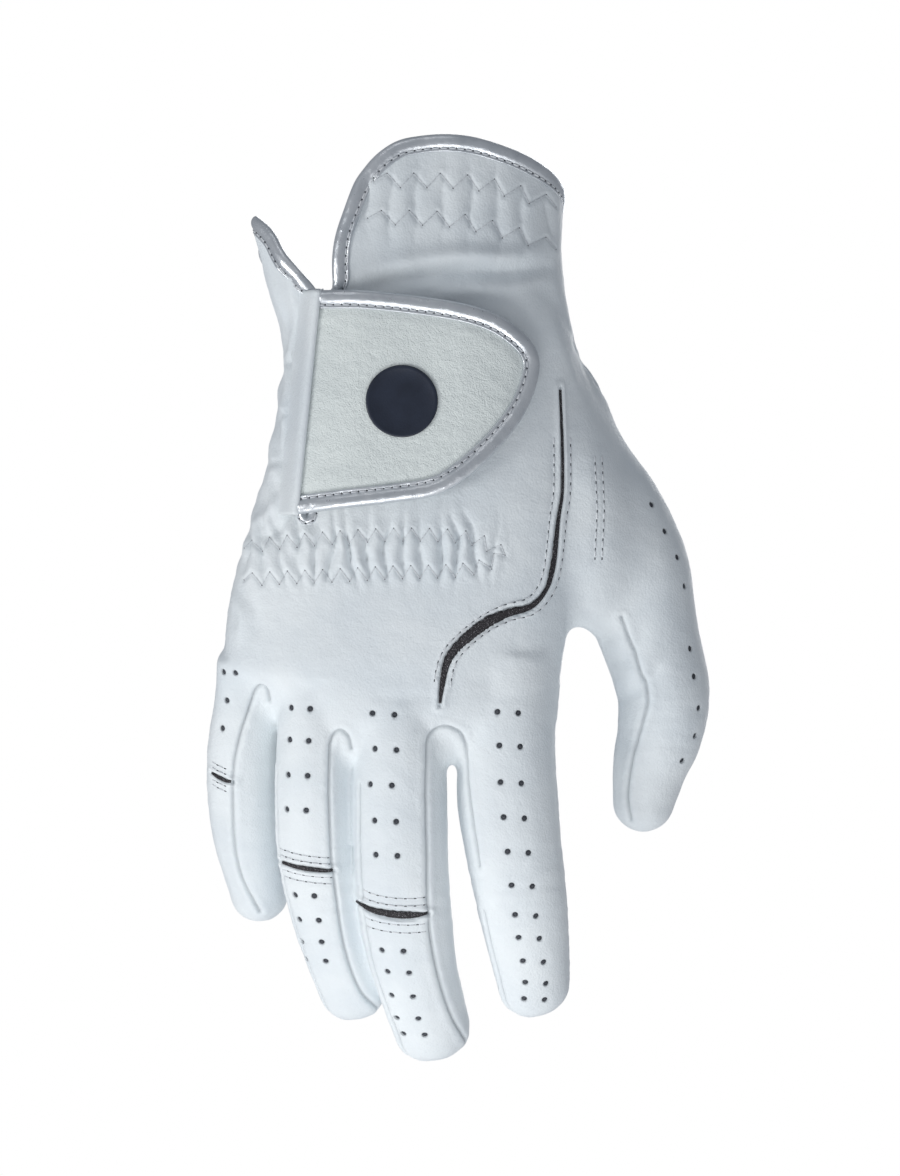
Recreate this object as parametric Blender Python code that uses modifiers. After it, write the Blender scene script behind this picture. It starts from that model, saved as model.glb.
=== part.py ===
"""Golf glove for the right hand, in the open, slightly curled shape that it keeps when worn.

Run with: blender --background --python part.py

The frame is in metres. +Z runs up out of the wrist opening, so the fingers point down. -Y is the
back of the hand, +Y the palm, and +X the thumb side. The origin is the centre of the wrist opening.
All dimensions below are in millimetres, and MM scales them where a mesh is made.

Every leather piece is a patch of one of six tubes: the hand, four fingers and the thumb. The angle
round a tube is 0 on its back, 90 on the thumb side, 180 on the palm and -90 on the little finger's
side. A patch is an open surface that a Solidify modifier thickens inwards.
"""

import math

import bmesh
import bpy
import numpy as np
from mathutils import Vector

MM = 0.001

# Driving dimensions
LEATHER = 0.8            # cabretta leather with its lining
KNIT = 0.6               # black stretch knit
SLOT_ROOM = 0.3          # from the insert's line to the leather beside it
STRIP_ROOM = 0.15        # from the insert's line to the knit
GAP = 0.4                # between neighbouring pieces
FINGER_BEND = 70.0       # degrees that a finger bends at its middle knuckle
THUMB_BEND = 35.0
KNUCKLE_FOLD = 45.0      # degrees that the four fingers fold together
NOTCH_SLACK = 1.5        # extra room in the notches on the palm side of each fold
BACK_EDGE = 52.0         # angle at which a finger's back meets its side strip
PALM_EDGE = 128.0        # angle at which the side strip meets the palm
SEAM = 97.0              # angle of the hand's two side seams
BINDING_R = 1.1          # rolled edge binding
BINDING_OUT = 1.55       # from a leather edge to the middle of its binding
ROUNDNESS = 2.2          # superellipse power of a finger
HAND_ROUNDNESS = 2.6     # superellipse power of the hand

# Hand: level, little-finger side, thumb side, back, palm
HAND = [
    (24.0, -41.0, 32.0, -19.0, 20.0),
    (0.0, -43.0, 33.0, -19.0, 20.0),
    (-15.0, -42.5, 33.0, -19.0, 20.0),
    (-28.0, -38.5, 34.5, -19.0, 19.5),
    (-40.0, -36.3, 37.0, -19.0, 19.5),
    (-52.5, -38.0, 38.5, -19.0, 19.5),
    (-65.0, -40.0, 39.3, -19.0, 19.0),
    (-78.0, -43.2, 39.3, -18.6, 18.5),
    (-90.0, -47.0, 38.2, -17.4, 17.5),
    (-103.0, -50.2, 35.8, -16.2, 16.0),
    (-116.0, -51.5, 33.4, -15.0, 15.0),
    (-126.0, -52.0, 32.4, -14.0, 14.5),
    (-140.0, -54.0, 32.0, -13.0, 13.5),
]
KNUCKLE_Z = -116.0

# Fingers and thumb. "line" runs from the root to where the rounded tip begins: X, Y, Z, half width,
# half thickness. "roll" turns the back towards the thumb side, in degrees.
DIGITS = {
    "pinky": {
        "line": [(-44.4, 2.5, -116.0, 6.9, 11.0), (-45.3, 6.0, -127.0, 7.6, 9.8),
                 (-47.2, 10.0, -139.0, 8.0, 9.2), (-47.4, 15.0, -151.0, 8.3, 8.8),
                 (-46.4, 20.5, -162.0, 8.0, 8.3), (-44.0, 27.0, -173.0, 7.3, 7.6), (-43.4, 29.0, -176.5, 7.0, 7.3)],
        "roll": -38.0, "bend_z": -147.0,
    },
    "ring": {
        "line": [(-28.0, 0.5, -116.0, 8.7, 13.2), (-29.4, 1.5, -137.0, 9.1, 11.6),
                 (-29.5, 4.0, -152.0, 9.2, 10.8), (-28.9, 9.0, -167.0, 9.2, 10.2),
                 (-26.6, 15.0, -179.0, 9.0, 9.6), (-23.4, 22.0, -190.0, 8.7, 8.9),
                 (-19.8, 29.5, -200.5, 8.3, 8.2)],
        "roll": -16.0, "bend_z": -168.5,
    },
    "middle": {
        "line": [(-7.6, 0.0, -116.0, 10.6, 13.8), (-7.5, -0.5, -137.0, 11.4, 12.4),
                 (-7.3, 1.0, -155.0, 11.8, 11.6), (-7.1, 4.0, -171.0, 11.8, 11.0),
                 (-6.0, 9.0, -184.0, 11.6, 10.4), (-3.8, 16.0, -196.0, 10.8, 9.7),
                 (0.2, 26.5, -210.0, 9.8, 9.0)],
        "roll": -7.0, "bend_z": -178.5,
    },
    "index": {
        "line": [(19.0, 0.0, -116.0, 13.0, 13.6), (19.1, 0.5, -137.0, 12.1, 12.2),
                 (19.2, 2.0, -152.0, 12.6, 11.4), (20.8, 4.5, -165.0, 12.1, 10.8),
                 (22.8, 8.5, -177.0, 11.4, 10.0), (24.4, 14.0, -188.0, 10.5, 9.2),
                 (26.0, 20.0, -199.0, 9.2, 8.5)],
        "roll": 2.0, "bend_z": -172.5,
    },
    "thumb": {
        "line": [(34.0, 4.0, -44.0, 7.0, 6.0), (42.0, 6.0, -68.0, 10.0, 9.4),
                 (47.6, 8.0, -82.0, 11.6, 11.6), (50.8, 10.0, -94.0, 12.4, 13.8),
                 (52.6, 11.5, -105.0, 12.5, 13.8), (55.4, 13.0, -115.0, 12.2, 12.6),
                 (58.0, 15.0, -126.0, 11.6, 12.0), (57.0, 17.0, -136.0, 10.8, 11.1),
                 (54.8, 19.0, -144.0, 9.8, 9.7), (53.4, 20.5, -153.0, 8.4, 8.0)],
        "roll": 78.0, "bend_z": -130.0,
    },
}
FINGERS = ("pinky", "ring", "middle", "index")
LEVELS = (-120.0, -125.0, -131.0, -137.0)       # rows of the finger pieces above the forks
FORKS = (1, 3, 3)                               # the fork after pinky, ring and middle is at that row
SLOT_HALF = {"pinky": 0.7, "ring": 0.8, "middle": 1.2}      # half height of a finger's flex slot
SLOT_SPAN = 42.0                                # angle to each side that a flex slot reaches
STRIP_MARGIN = 1.7                              # angle between a side strip's edge and its seam
STRIP_TAPER = 8.0                               # length over which a side strip narrows at its end

# Edge of the cuff: angle round the hand, level. The slit lies between the last point and the first.
CUFF = [(-28.1, -25.0), (-24.3, -16.7), (-21.2, -10.0), (-17.8, -4.6), (-14.7, 1.0), (-10.1, 6.0), (-5.1, 9.6),
        (-0.4, 11.9), (6.3, 12.8), (17.5, 12.3), (29.7, 10.4), (45.4, 7.7), (64.6, 4.2), (85.0, 0.5),
        (110.0, -5.0), (140.0, -13.0), (180.0, -18.0), (220.0, -17.0), (250.0, -11.0), (272.0, -7.5),
        (292.0, -10.0), (302.7, -15.0), (311.7, -20.2), (318.9, -25.0)]
SLIT_TOP = (-25.9, -26.0)        # X and Z
SLIT_BOTTOM = (-31.0, -83.3)
SLIT_HALF = 3.0

# Black stretch insert on the back: X, Z, half width
INSERT = [(32.4, -50.0, 0.4), (33.0, -62.0, 0.5), (33.0, -75.0, 0.6), (32.2, -85.0, 0.9), (30.4, -95.0, 1.2),
          (27.0, -101.0, 1.6), (21.0, -105.0, 2.0), (14.5, -108.5, 2.0), (9.0, -112.0, 1.6),
          (5.6, -116.0, 1.2), (4.0, -122.0, 0.8), (3.4, -128.0, 0.5)]

# Closure tab: X, top edge, bottom edge, from the hinge to the rounded free end
TAB = [(-27.3, -29.0, -78.0), (-17.0, -29.4, -77.0), (-7.0, -30.4, -76.0), (3.0, -32.2, -74.0), (10.0, -34.4, -70.0),
       (15.5, -37.4, -65.0), (19.5, -41.2, -59.4), (21.6, -45.0, -54.4), (22.4, -48.0, -51.0)]
TAB_SLANT = 5.0                  # how far the hinge's foot lies beyond its top
TAB_Y = -23.4                    # flat middle of the tab's outer face
TAB_FLAT = (-18.0, 8.0)          # X range over which that face is flat
TAB_FALL = (0.060, 0.0105)       # how fast it falls towards the palm past each end of that range
TAB_THICK = 1.3
PATCH = 0.9                      # thickness of the hook and the loop patches
PATCH_X = (4.0, 19.0)
PATCH_Z = (-41.0, -63.0)
EMBLEM = (-7.0, -53.0, 9.0, 0.6)        # X, Z, radius, thickness

COLOURS = {
    "leather": ((0.80, 0.83, 0.87, 1.0), 0.55, 0.0),
    "tab_leather": ((0.74, 0.77, 0.78, 1.0), 0.5, 0.0),
    "silver_binding": ((0.62, 0.64, 0.67, 1.0), 0.35, 0.6),
    "stretch_knit": ((0.03, 0.03, 0.04, 1.0), 0.8, 0.0),
    "elastic": ((0.78, 0.79, 0.80, 1.0), 0.9, 0.0),
    "hook_and_loop": ((0.70, 0.71, 0.73, 1.0), 0.95, 0.0),
    "emblem_print": ((0.02, 0.03, 0.06, 1.0), 0.4, 0.0),
}


def clear_scene():
    for obj in list(bpy.data.objects):
        bpy.data.objects.remove(obj)


def make_material(name):
    colour, roughness, metallic = COLOURS[name]
    material = bpy.data.materials.new(name)
    material.use_nodes = True
    shader = material.node_tree.nodes["Principled BSDF"]
    shader.inputs["Base Color"].default_value = colour
    shader.inputs["Roughness"].default_value = roughness
    shader.inputs["Metallic"].default_value = metallic
    return material


def make_collection(name):
    collection = bpy.data.collections.new(name)
    bpy.context.scene.collection.children.link(collection)
    return collection


# Curves and tubes

def through(rows, fine=16):
    """Closely spaced rows on a smooth (Catmull-Rom) curve through the given rows."""
    p = np.array(rows, float)
    p = np.vstack([2 * p[0] - p[1], p, 2 * p[-1] - p[-2]])
    made = []
    for a, b, c, d in zip(p, p[1:], p[2:], p[3:]):
        for t in np.linspace(0, 1, fine, endpoint=False):
            made.append(0.5 * (2 * b + (c - a) * t + (2 * a - 5 * b + 4 * c - d) * t**2
                               + (3 * b - a - 3 * c + d) * t**3))
    made.append(p[-2])
    return np.array(made)


def look_up(rows, column, value, key=0, falling=False):
    """A column of the rows at the place where their key column has that value."""
    sign = -1 if falling else 1
    return float(np.interp(sign * value, sign * rows[:, key], rows[:, column]))


def spread(first, last, count):
    """Evenly spaced values, count steps from first to last."""
    return [first + (last - first) * i / count for i in range(count + 1)]


def ease(share):
    share = min(1.0, max(0.0, share))
    return share * share * (3 - 2 * share)


HAND_ROWS = through(HAND)
CUFF_ROWS = through(CUFF)
INSERT_ROWS = through(INSERT)
TAB_ROWS = through(TAB, 3)


def rounded(angle, power):
    """Sine and cosine of an angle in degrees, pushed out to a superellipse of that power."""
    s, c = math.sin(math.radians(angle)), math.cos(math.radians(angle))
    return math.copysign(abs(s) ** (2 / power), s), math.copysign(abs(c) ** (2 / power), c)


def hand_size(z):
    """Middle, half width, back and palm of the hand at a level."""
    low, high, back, palm = [look_up(HAND_ROWS, k, z, falling=True) for k in (1, 2, 3, 4)]
    return (low + high) / 2, (high - low) / 2, -back, palm


def hand_point(z, angle, grow=0.0):
    middle, half, back, palm = hand_size(z)
    s, c = rounded(angle, HAND_ROUNDNESS)
    return Vector((middle + s * (half + grow), -c * ((back if c > 0 else palm) + grow), z))


def hand_angle(x, z):
    """Angle round the back of the hand at which its surface has that X."""
    middle, half, _, _ = hand_size(z)
    share = min(1.0, max(-1.0, (x - middle) / half))
    return math.degrees(math.asin(math.copysign(abs(share) ** (HAND_ROUNDNESS / 2), share)))


def in_hand(p, grow):
    middle, half, back, palm = hand_size(p.z)
    depth = back if p.y < 0 else palm
    return (abs((p.x - middle) / (half + grow)) ** HAND_ROUNDNESS
            + abs(p.y / (depth + grow)) ** HAND_ROUNDNESS) < 1.0


class Digit:
    """A finger or the thumb: an oval tube along a curved line, closed by a rounded tip.

    Distances are measured along the line, and past its end over the rounded tip to its pole."""

    def __init__(self, line, roll, bend_z):
        self.rows = through(line)
        steps = np.linalg.norm(np.diff(self.rows[:, :3], axis=0), axis=1)
        self.along = np.concatenate([[0.0], np.cumsum(steps)])
        self.length = self.along[-1]
        self.cap = self.rows[-1, 4] * 1.05
        self.end = self.length + self.cap * math.pi / 2
        self.roll = math.radians(roll)
        self.bend = self.at_level(bend_z)

    def at_level(self, z):
        return float(np.interp(-z, -self.rows[:, 2], self.along))

    def frame(self, distance):
        """Centre, unit vectors to the tip, the back and the thumb side, half width, half thickness."""
        d = min(max(distance, 0.0), self.length)
        row = [float(np.interp(d, self.along, self.rows[:, k])) for k in range(5)]
        ends = [[float(np.interp(e, self.along, self.rows[:, k])) for k in range(3)] for e in (d - 1.5, d + 1.5)]
        tangent = (Vector(ends[1]) - Vector(ends[0])).normalized()
        back = Vector((math.sin(self.roll), -math.cos(self.roll), 0.0))
        back = (back - back.dot(tangent) * tangent).normalized()
        turn = min(max(distance - self.length, 0.0) / self.cap, math.pi / 2)
        centre = Vector(row[:3]) + tangent * (self.cap * math.sin(turn))
        return centre, tangent, back, back.cross(tangent), row[3] * math.cos(turn), row[4] * math.cos(turn)

    def point(self, distance, angle, grow=0.0, lift=0.0):
        centre, _, back, side, width, thick = self.frame(distance)
        s, c = rounded(angle, ROUNDNESS)
        return centre + side * (s * (width + grow)) + back * (c * (thick + grow) + lift)

    def notch(self, angle, fold):
        """How far the tube is cut back at an angle, so that it can bend towards the palm."""
        below = max(0.0, -rounded(angle, ROUNDNESS)[1]) * self.frame(self.bend)[5]
        return GAP / 2 + NOTCH_SLACK * below * math.tan(math.radians(fold / 2))


TUBES = {name: Digit(**values) for name, values in DIGITS.items()}


# Mesh tools

def add_object(name, data, material):
    obj = bpy.data.objects.new(name, data)
    data.materials.append(MATERIALS[material])
    PARTS.objects.link(obj)
    return obj


def thicken(name, bm, material, thickness=LEATHER):
    """Make an open surface, with its normals outwards, a solid piece."""
    bmesh.ops.remove_doubles(bm, verts=bm.verts, dist=0.02 * MM)
    mesh = bpy.data.meshes.new(name)
    bm.to_mesh(mesh)
    bm.free()
    obj = add_object(name, mesh, material)
    solid = obj.modifiers.new("thickness", "SOLIDIFY")
    solid.thickness = thickness * MM
    solid.offset = -1.0
    mesh.shade_smooth()
    return obj


def fill_between(bm, upper, lower):
    """Faces between two rows that run towards the thumb side on the back of the hand."""
    for k in range(len(upper) - 1):
        bm.faces.new((upper[k], lower[k], lower[k + 1], upper[k + 1]))


def shell(name, rows, material, thickness=LEATHER):
    """A piece through rows of points. A row runs with the angle, and the next lies nearer the tip."""
    bm = bmesh.new()
    verts = [[bm.verts.new(p * MM) for p in row] for row in rows]
    for upper, lower in zip(verts, verts[1:]):
        fill_between(bm, upper, lower)
    return thicken(name, bm, material, thickness)


def lines_along(point, start, rings, edges, across):
    """Rows of points over part of a tube: one at start(angle), one halfway, then one at each ring.
    edges gives the angles of the piece's two sides at a distance."""
    lines = []
    for share in spread(0.0, 1.0, across):
        left, right = edges(rings[0])
        first = start(left + (right - left) * share)
        line = []
        for distance in [first, (first + rings[0]) / 2] + list(rings):
            left, right = edges(distance)
            line.append(point(distance, left + (right - left) * share))
        lines.append(line)
    return [list(row) for row in zip(*lines)]


def cord(name, points, radius, material, cyclic=False):
    """A round bead along a line of points."""
    curve = bpy.data.curves.new(name, "CURVE")
    curve.dimensions = "3D"
    curve.bevel_depth = radius * MM
    curve.bevel_resolution = 1
    curve.use_fill_caps = True
    spline = curve.splines.new("POLY")
    spline.points.add(len(points) - 1)
    spline.use_cyclic_u = cyclic
    for target, p in zip(spline.points, points):
        target.co = (*(p * MM), 1.0)
    return add_object(name, curve, material)


def make_thumb_cutter():
    """The thumb's outer shape where it leaves the hand, with a gap round it."""
    thumb = TUBES["thumb"]
    bm = bmesh.new()
    rings = [[bm.verts.new(thumb.point(d, a, grow=GAP) * MM) for a in spread(0.0, 345.0, 23)]
             for d in spread(2.0, thumb.at_level(-112.0), 10)]
    for upper, lower in zip(rings, rings[1:]):
        fill_between(bm, upper + upper[:1], lower + lower[:1])
    bm.faces.new(rings[0])
    bm.faces.new(rings[-1][::-1])
    bmesh.ops.recalc_face_normals(bm, faces=bm.faces)
    mesh = bpy.data.meshes.new("thumb_cutter")
    bm.to_mesh(mesh)
    bm.free()
    cutter = bpy.data.objects.new("thumb_cutter", mesh)
    CUTTERS.objects.link(cutter)
    cutter.hide_render = True
    cutter.display_type = "WIRE"
    return cutter


def cut(obj, cutter):
    boolean = obj.modifiers.new("thumb_hole", "BOOLEAN")
    boolean.operation = "DIFFERENCE"
    boolean.object = cutter


# Lines that several pieces share

def insert_edge(z, side, gap):
    """X of one side of the black insert at a level, -1 for the little finger's side."""
    x = look_up(INSERT_ROWS, 0, z, key=1, falling=True)
    return x + side * (look_up(INSERT_ROWS, 2, z, key=1, falling=True) + gap)


def slit_x(z):
    share = (SLIT_TOP[1] - z) / (SLIT_TOP[1] - SLIT_BOTTOM[1])
    return SLIT_TOP[0] + (SLIT_BOTTOM[0] - SLIT_TOP[0]) * share


def cuff_level(angle):
    return look_up(CUFF_ROWS, 1, angle)


def fold_level(y, side):
    """Level of an edge at the knuckle fold, notched on the palm. side is 1 on the hand, -1 below it."""
    room = GAP / 2 + NOTCH_SLACK * max(0.0, y) * math.tan(math.radians(KNUCKLE_FOLD / 2))
    return KNUCKLE_Z + side * room


def slot_room(finger):
    """Distance from a finger's bend to the leather's edge on its back."""
    return SLOT_HALF[finger] + GAP if finger in SLOT_HALF else GAP / 2


# The hand

def make_back_panel(cutter):
    """One piece from seam to seam, with the slit in the cuff and the slot for the black insert."""
    levels = spread(SLIT_TOP[1], SLIT_BOTTOM[1], 6) + [-90.0, -96.0, -101.0, -105.0, -108.5, -112.0, fold_level(0, 1)]
    bm = bmesh.new()

    def row_angles(z):
        half = SLIT_HALF if z >= SLIT_BOTTOM[1] else 0.5
        slit = [hand_angle(slit_x(max(z, SLIT_BOTTOM[1])) + side * half, z) for side in (-1, 1)]
        insert = [hand_angle(insert_edge(z, side, SLOT_ROOM if z < INSERT[0][1] else 0.0), z) for side in (-1, 1)]
        return spread(-SEAM, slit[0], 4), spread(slit[1], insert[0], 8), spread(insert[1], SEAM, 5)

    first = row_angles(levels[0])
    tops = [[cuff_level(a + 360.0 if k == 0 else a) for a in part] for k, part in enumerate(first)]
    rows = []
    for share in (0.0, 0.4, 0.75):
        rows.append([[(t + (levels[0] - t) * share, a) for t, a in zip(top, part)] for top, part in zip(tops, first)])
    rows += [[[(z, a) for a in part] for part in row_angles(z)] for z in levels]
    verts = [[[bm.verts.new(hand_point(z, a) * MM) for z, a in part] for part in row] for row in rows]
    slit_end = len(rows) - sum(z < SLIT_BOTTOM[1] for z in levels)
    insert_start = len(rows) - sum(z < INSERT[0][1] for z in levels)
    for i, (upper, lower) in enumerate(zip(verts, verts[1:]), start=1):
        for above, below in zip(upper, lower):
            fill_between(bm, above, below)
        if i >= slit_end:
            fill_between(bm, [upper[0][-1], upper[1][0]], [lower[0][-1], lower[1][0]])
        if i < insert_start:
            fill_between(bm, [upper[1][-1], upper[2][0]], [lower[1][-1], lower[2][0]])
    cut(thicken("back_panel", bm, "leather"), cutter)


def make_palm_panel(cutter):
    rows = []
    for share in spread(0.0, 1.0, 12):
        row = []
        for angle in spread(SEAM + 2.0, 358.0 - SEAM, 14):
            top = cuff_level(angle)
            row.append(hand_point(top + (fold_level(hand_point(KNUCKLE_Z, angle).y, 1) - top) * share, angle))
        rows.append(row)
    cut(shell("palm_panel", rows, "leather"), cutter)


def make_stretch_insert():
    rows = [[hand_point(z, hand_angle(insert_edge(z, side, -STRIP_ROOM), z)) for side in (-1, 1)]
            for z in spread(INSERT[0][1] - 2.0, fold_level(0, 1), 16)]
    shell("stretch_insert", rows, "stretch_knit", KNIT)


def make_cuff_binding():
    """A bead along the whole cuff and down both sides of the slit."""
    depths = spread(SLIT_TOP[1] - 4.0, SLIT_BOTTOM[1] + 4.0, 6)
    edge = [(z, hand_angle(slit_x(z) + SLIT_HALF, z)) for z in depths[::-1]]
    edge += [(cuff_level(a), a) for a in spread(CUFF[0][0], 90.0, 26) + spread(100.0, CUFF[-1][0], 26)]
    edge += [(z, hand_angle(slit_x(z) - SLIT_HALF, z)) for z in depths]
    foot = SLIT_BOTTOM[1]
    edge += [(foot + rise, hand_angle(slit_x(foot) + x, foot)) for x, rise in ((-2.4, 0.7), (0, 0), (2.4, 0.7))]
    points = [hand_point(z, a, grow=-LEATHER / 2) for z, a in edge]
    outer = [hand_point(z, a, grow=1.0) for z, a in edge]
    beads = []
    for k, p in enumerate(points):
        along = points[(k + 1) % len(points)] - points[k - 1]
        beads.append(p + (outer[k] - p).cross(along).normalized() * BINDING_OUT)
    cord("cuff_binding", beads, BINDING_R, "silver_binding", cyclic=True)


def make_elastic(name, top, bottom, edges, across):
    """An elastic band sewn to the inside of the back panel."""
    inside = -(LEATHER + 0.9)
    rows = [[hand_point(z, a, grow=inside) for a in spread(*edges, across)] for z in spread(top, bottom, 2)]
    shell(name, rows, "elastic", 0.7)


def make_loop_patch():
    """The loop half of the closure, on the back panel under the tab's free end."""
    rows = [[hand_point(z, hand_angle(x, z), grow=0.35 + PATCH) for x in spread(*PATCH_X, 5)]
            for z in spread(*PATCH_Z, 5)]
    shell("loop_patch", rows, "hook_and_loop", PATCH)


# The fingers

def comb_point(digit, z, angle):
    """A point of the finger pieces above the forks, between the hand's shape and the finger's."""
    p = digit.point(digit.at_level(z), angle)
    if abs(rounded(angle, ROUNDNESS)[0]) > 0.9:
        return Vector((p.x, p.y, z))
    middle, half, back, palm = hand_size(z)
    share = min(0.97, abs((p.x - middle) / half))
    depth = (1 - share**HAND_ROUNDNESS) ** (1 / HAND_ROUNDNESS)
    y = -back * depth if math.cos(math.radians(angle)) > 0 else palm * depth
    return Vector((p.x, y + (p.y - y) * ease((KNUCKLE_Z - z) / (KNUCKLE_Z - LEVELS[-1])), z))


def comb_rows(finger, span):
    """Rows of one finger's back or palm, from the knuckle fold to its bend."""
    digit = TUBES[finger]
    angles = spread(*span, 6)
    first = [fold_level(comb_point(digit, KNUCKLE_Z, a).y, -1) for a in angles]
    rows = [[comb_point(digit, z, a) for z, a in zip(first, angles)]]
    for level in LEVELS:
        rows.append([comb_point(digit, min(level, z - 0.8), a) for z, a in zip(first, angles)])
    begin = digit.at_level(LEVELS[-1])
    ends = [digit.bend - max(digit.notch(a, FINGER_BEND), slot_room(finger)) for a in angles]
    for share in spread(0.0, 1.0, 5)[1:]:
        rows.append([digit.point(begin + (end - begin) * share, a) for end, a in zip(ends, angles)])
    return rows


def make_comb(name, spans, order, forks, slotted_fork=None):
    """The backs or the palms of the four fingers as one piece, joined above the forks."""
    bm = bmesh.new()
    grids = [[[bm.verts.new(p * MM) for p in row] for row in comb_rows(finger, spans[finger])] for finger in order]
    for grid in grids:
        for upper, lower in zip(grid, grid[1:]):
            fill_between(bm, upper, lower)
    for k, fork in enumerate(forks):
        pairs = [[grids[k][i][-1], grids[k + 1][i][0]] for i in range(fork + 2)]
        if k == slotted_fork:
            bridge_with_slot(bm, pairs)
        else:
            for above, below in zip(pairs, pairs[1:]):
                fill_between(bm, above, below)
    thicken(name, bm, "leather")


def bridge_with_slot(bm, pairs):
    """Join middle and index finger, leaving the slot that the black insert fills."""
    sides = []
    for side in (-1, 1):
        column = []
        for a, b in pairs:
            x = insert_edge(a.co.z / MM, side, SLOT_ROOM) * MM
            column.append(bm.verts.new(a.co + (b.co - a.co) * ((x - a.co.x) / (b.co.x - a.co.x))))
        sides.append(column)
    left, right = sides
    for i in range(len(pairs) - 1):
        fill_between(bm, [pairs[i][0], left[i]], [pairs[i + 1][0], left[i + 1]])
        fill_between(bm, [right[i], pairs[i][1]], [right[i + 1], pairs[i + 1][1]])
    fill_between(bm, [left[-2], right[-2]], [left[-1], right[-1]])


def make_finger_backs():
    spans = {name: (1 - BACK_EDGE, BACK_EDGE - 1) for name in FINGERS}
    spans["pinky"] = (-89.0, BACK_EDGE - 1)
    spans["index"] = (1 - BACK_EDGE, 89.0)
    make_comb("finger_backs", spans, FINGERS, FORKS, slotted_fork=2)


def make_finger_palms():
    spans = {name: (PALM_EDGE + 1, 359 - PALM_EDGE) for name in FINGERS}
    spans["index"] = (91.0, 359 - PALM_EDGE)
    spans["pinky"] = (PALM_EDGE + 1, 269.0)
    make_comb("finger_palms", spans, FINGERS[::-1], FORKS[::-1])


def make_lower_insert():
    """The black strip's tail, between middle and index finger."""
    rows = []
    for z in spread(fold_level(0, -1), LEVELS[1] - 0.5, 4):
        a = comb_point(TUBES["middle"], z, BACK_EDGE - 1)
        b = comb_point(TUBES["index"], z, 1 - BACK_EDGE)
        xs = [insert_edge(z, side, -STRIP_ROOM) for side in (-1, 1)]
        rows.append([a + (b - a) * ((x - a.x) / (b.x - a.x)) for x in xs])
    shell("stretch_insert_lower", rows, "stretch_knit", KNIT)


def strip_rows(digit, begin, side):
    """Rows of a finger's side strip from the fork to the bend, each from its back edge to its palm edge."""
    angles = spread(BACK_EDGE + STRIP_MARGIN, PALM_EDGE - STRIP_MARGIN, 4)
    ends = [digit.bend - digit.notch(a, FINGER_BEND) for a in angles]
    return [[digit.point(begin + (end - begin) * share, side * a) for end, a in zip(ends, angles)]
            for share in spread(0.0, 1.0, 5)]


def make_fourchette(left, right, fork):
    """The U-shaped strip between two fingers: up the right one, over the fork and down the left one."""
    a, b = TUBES[left], TUBES[right]
    level = LEVELS[fork] - 1.4
    down = strip_rows(a, a.at_level(level), 1)
    up = strip_rows(b, b.at_level(level), -1)[::-1]
    web = [(p + q) / 2 + Vector((0.0, 0.0, 0.2)) for p, q in zip(up[-1], down[0])]
    shell(f"{left}_{right}_fourchette", up + [web] + down, "leather")


# The fingertips

def make_fingertip(finger):
    """Back, palm and side strips of a finger past its bend, with its flex insert."""
    digit = TUBES[finger]
    mouth = digit.length - 2.0
    sides = {"pinky": (1,), "ring": (1, -1), "middle": (1, -1), "index": (-1,)}[finger]
    rings = spread(digit.bend + 10.0, mouth, 4)
    tip_rings = rings + spread(mouth + 1.5, digit.end, 5)

    def strip_half(distance):
        narrowed = min(1.0, max(0.0, (distance - mouth + STRIP_TAPER) / STRIP_TAPER))
        return (PALM_EDGE - 91) * (1 - narrowed) + 3 * narrowed

    def half(distance, side):
        return 88 - strip_half(distance) if side in sides and distance <= mouth else 89.6

    def below(angle):
        return digit.bend + digit.notch(angle, FINGER_BEND)

    back = lines_along(lambda d, a: digit.point(d, a, lift=GAP / 2), lambda a: digit.bend + slot_room(finger),
                       tip_rings, lambda d: (-half(d, -1), half(d, 1)), 6)
    shell(f"{finger}_tip_back", back, "leather")
    palm = lines_along(lambda d, a: digit.point(d, a, lift=-GAP / 2), below,
                       tip_rings, lambda d: (180 - half(d, 1), 180 + half(d, -1)), 6)
    shell(f"{finger}_tip_palm", palm, "leather")
    for side in sides:
        strip = lines_along(digit.point, below, rings,
                            lambda d: (side * 90 - strip_half(d), side * 90 + strip_half(d)), 3)
        label = "thumb_side" if side == 1 else "little_side"
        shell(f"{finger}_tip_{label}", strip, "leather")
    if finger in SLOT_HALF:
        rows = [[digit.point(digit.bend + end * SLOT_HALF[finger], a) for a in spread(-SLOT_SPAN, SLOT_SPAN, 6)]
                for end in (-1, 1)]
        shell(f"{finger}_flex_insert", rows, "stretch_knit", KNIT)


# The thumb

def make_thumb():
    thumb = TUBES["thumb"]

    def leaves_hand(angle):
        """Distance past which the thumb's surface lies outside the hand."""
        inside = [d for d in spread(4.0, thumb.bend, 120) if in_hand(thumb.point(d, angle), 1.3)]
        return inside[-1] + 0.3 if inside else 4.0

    def below(angle):
        return thumb.bend + thumb.notch(angle, THUMB_BEND)

    def base_rows(first, last, lift, steps):
        rows = []
        for share in spread(0.0, 1.0, steps):
            row = []
            for a in spread(first, last, 10):
                start, stop = leaves_hand(a), thumb.bend - thumb.notch(a, THUMB_BEND)
                row.append(thumb.point(start + (stop - start) * share, a, lift=lift))
            rows.append(row)
        return rows

    shell("thumb_back", base_rows(-89.6, 89.6, GAP / 2, 9), "leather")
    shell("thumb_palm", base_rows(90.4, 269.6, -GAP / 2, 6), "leather")
    rings = spread(thumb.bend + 7.0, thumb.length, 3) + spread(thumb.length + 2.5, thumb.end, 4)
    for name, middle, lift in (("thumb_tip_back", 0.0, GAP / 2), ("thumb_tip_palm", 180.0, -GAP / 2)):
        rows = lines_along(lambda d, a: thumb.point(d, a, lift=lift), below, rings,
                           lambda d: (middle - 89.6, middle + 89.6), 8)
        shell(name, rows, "leather")


# The closure tab

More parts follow.
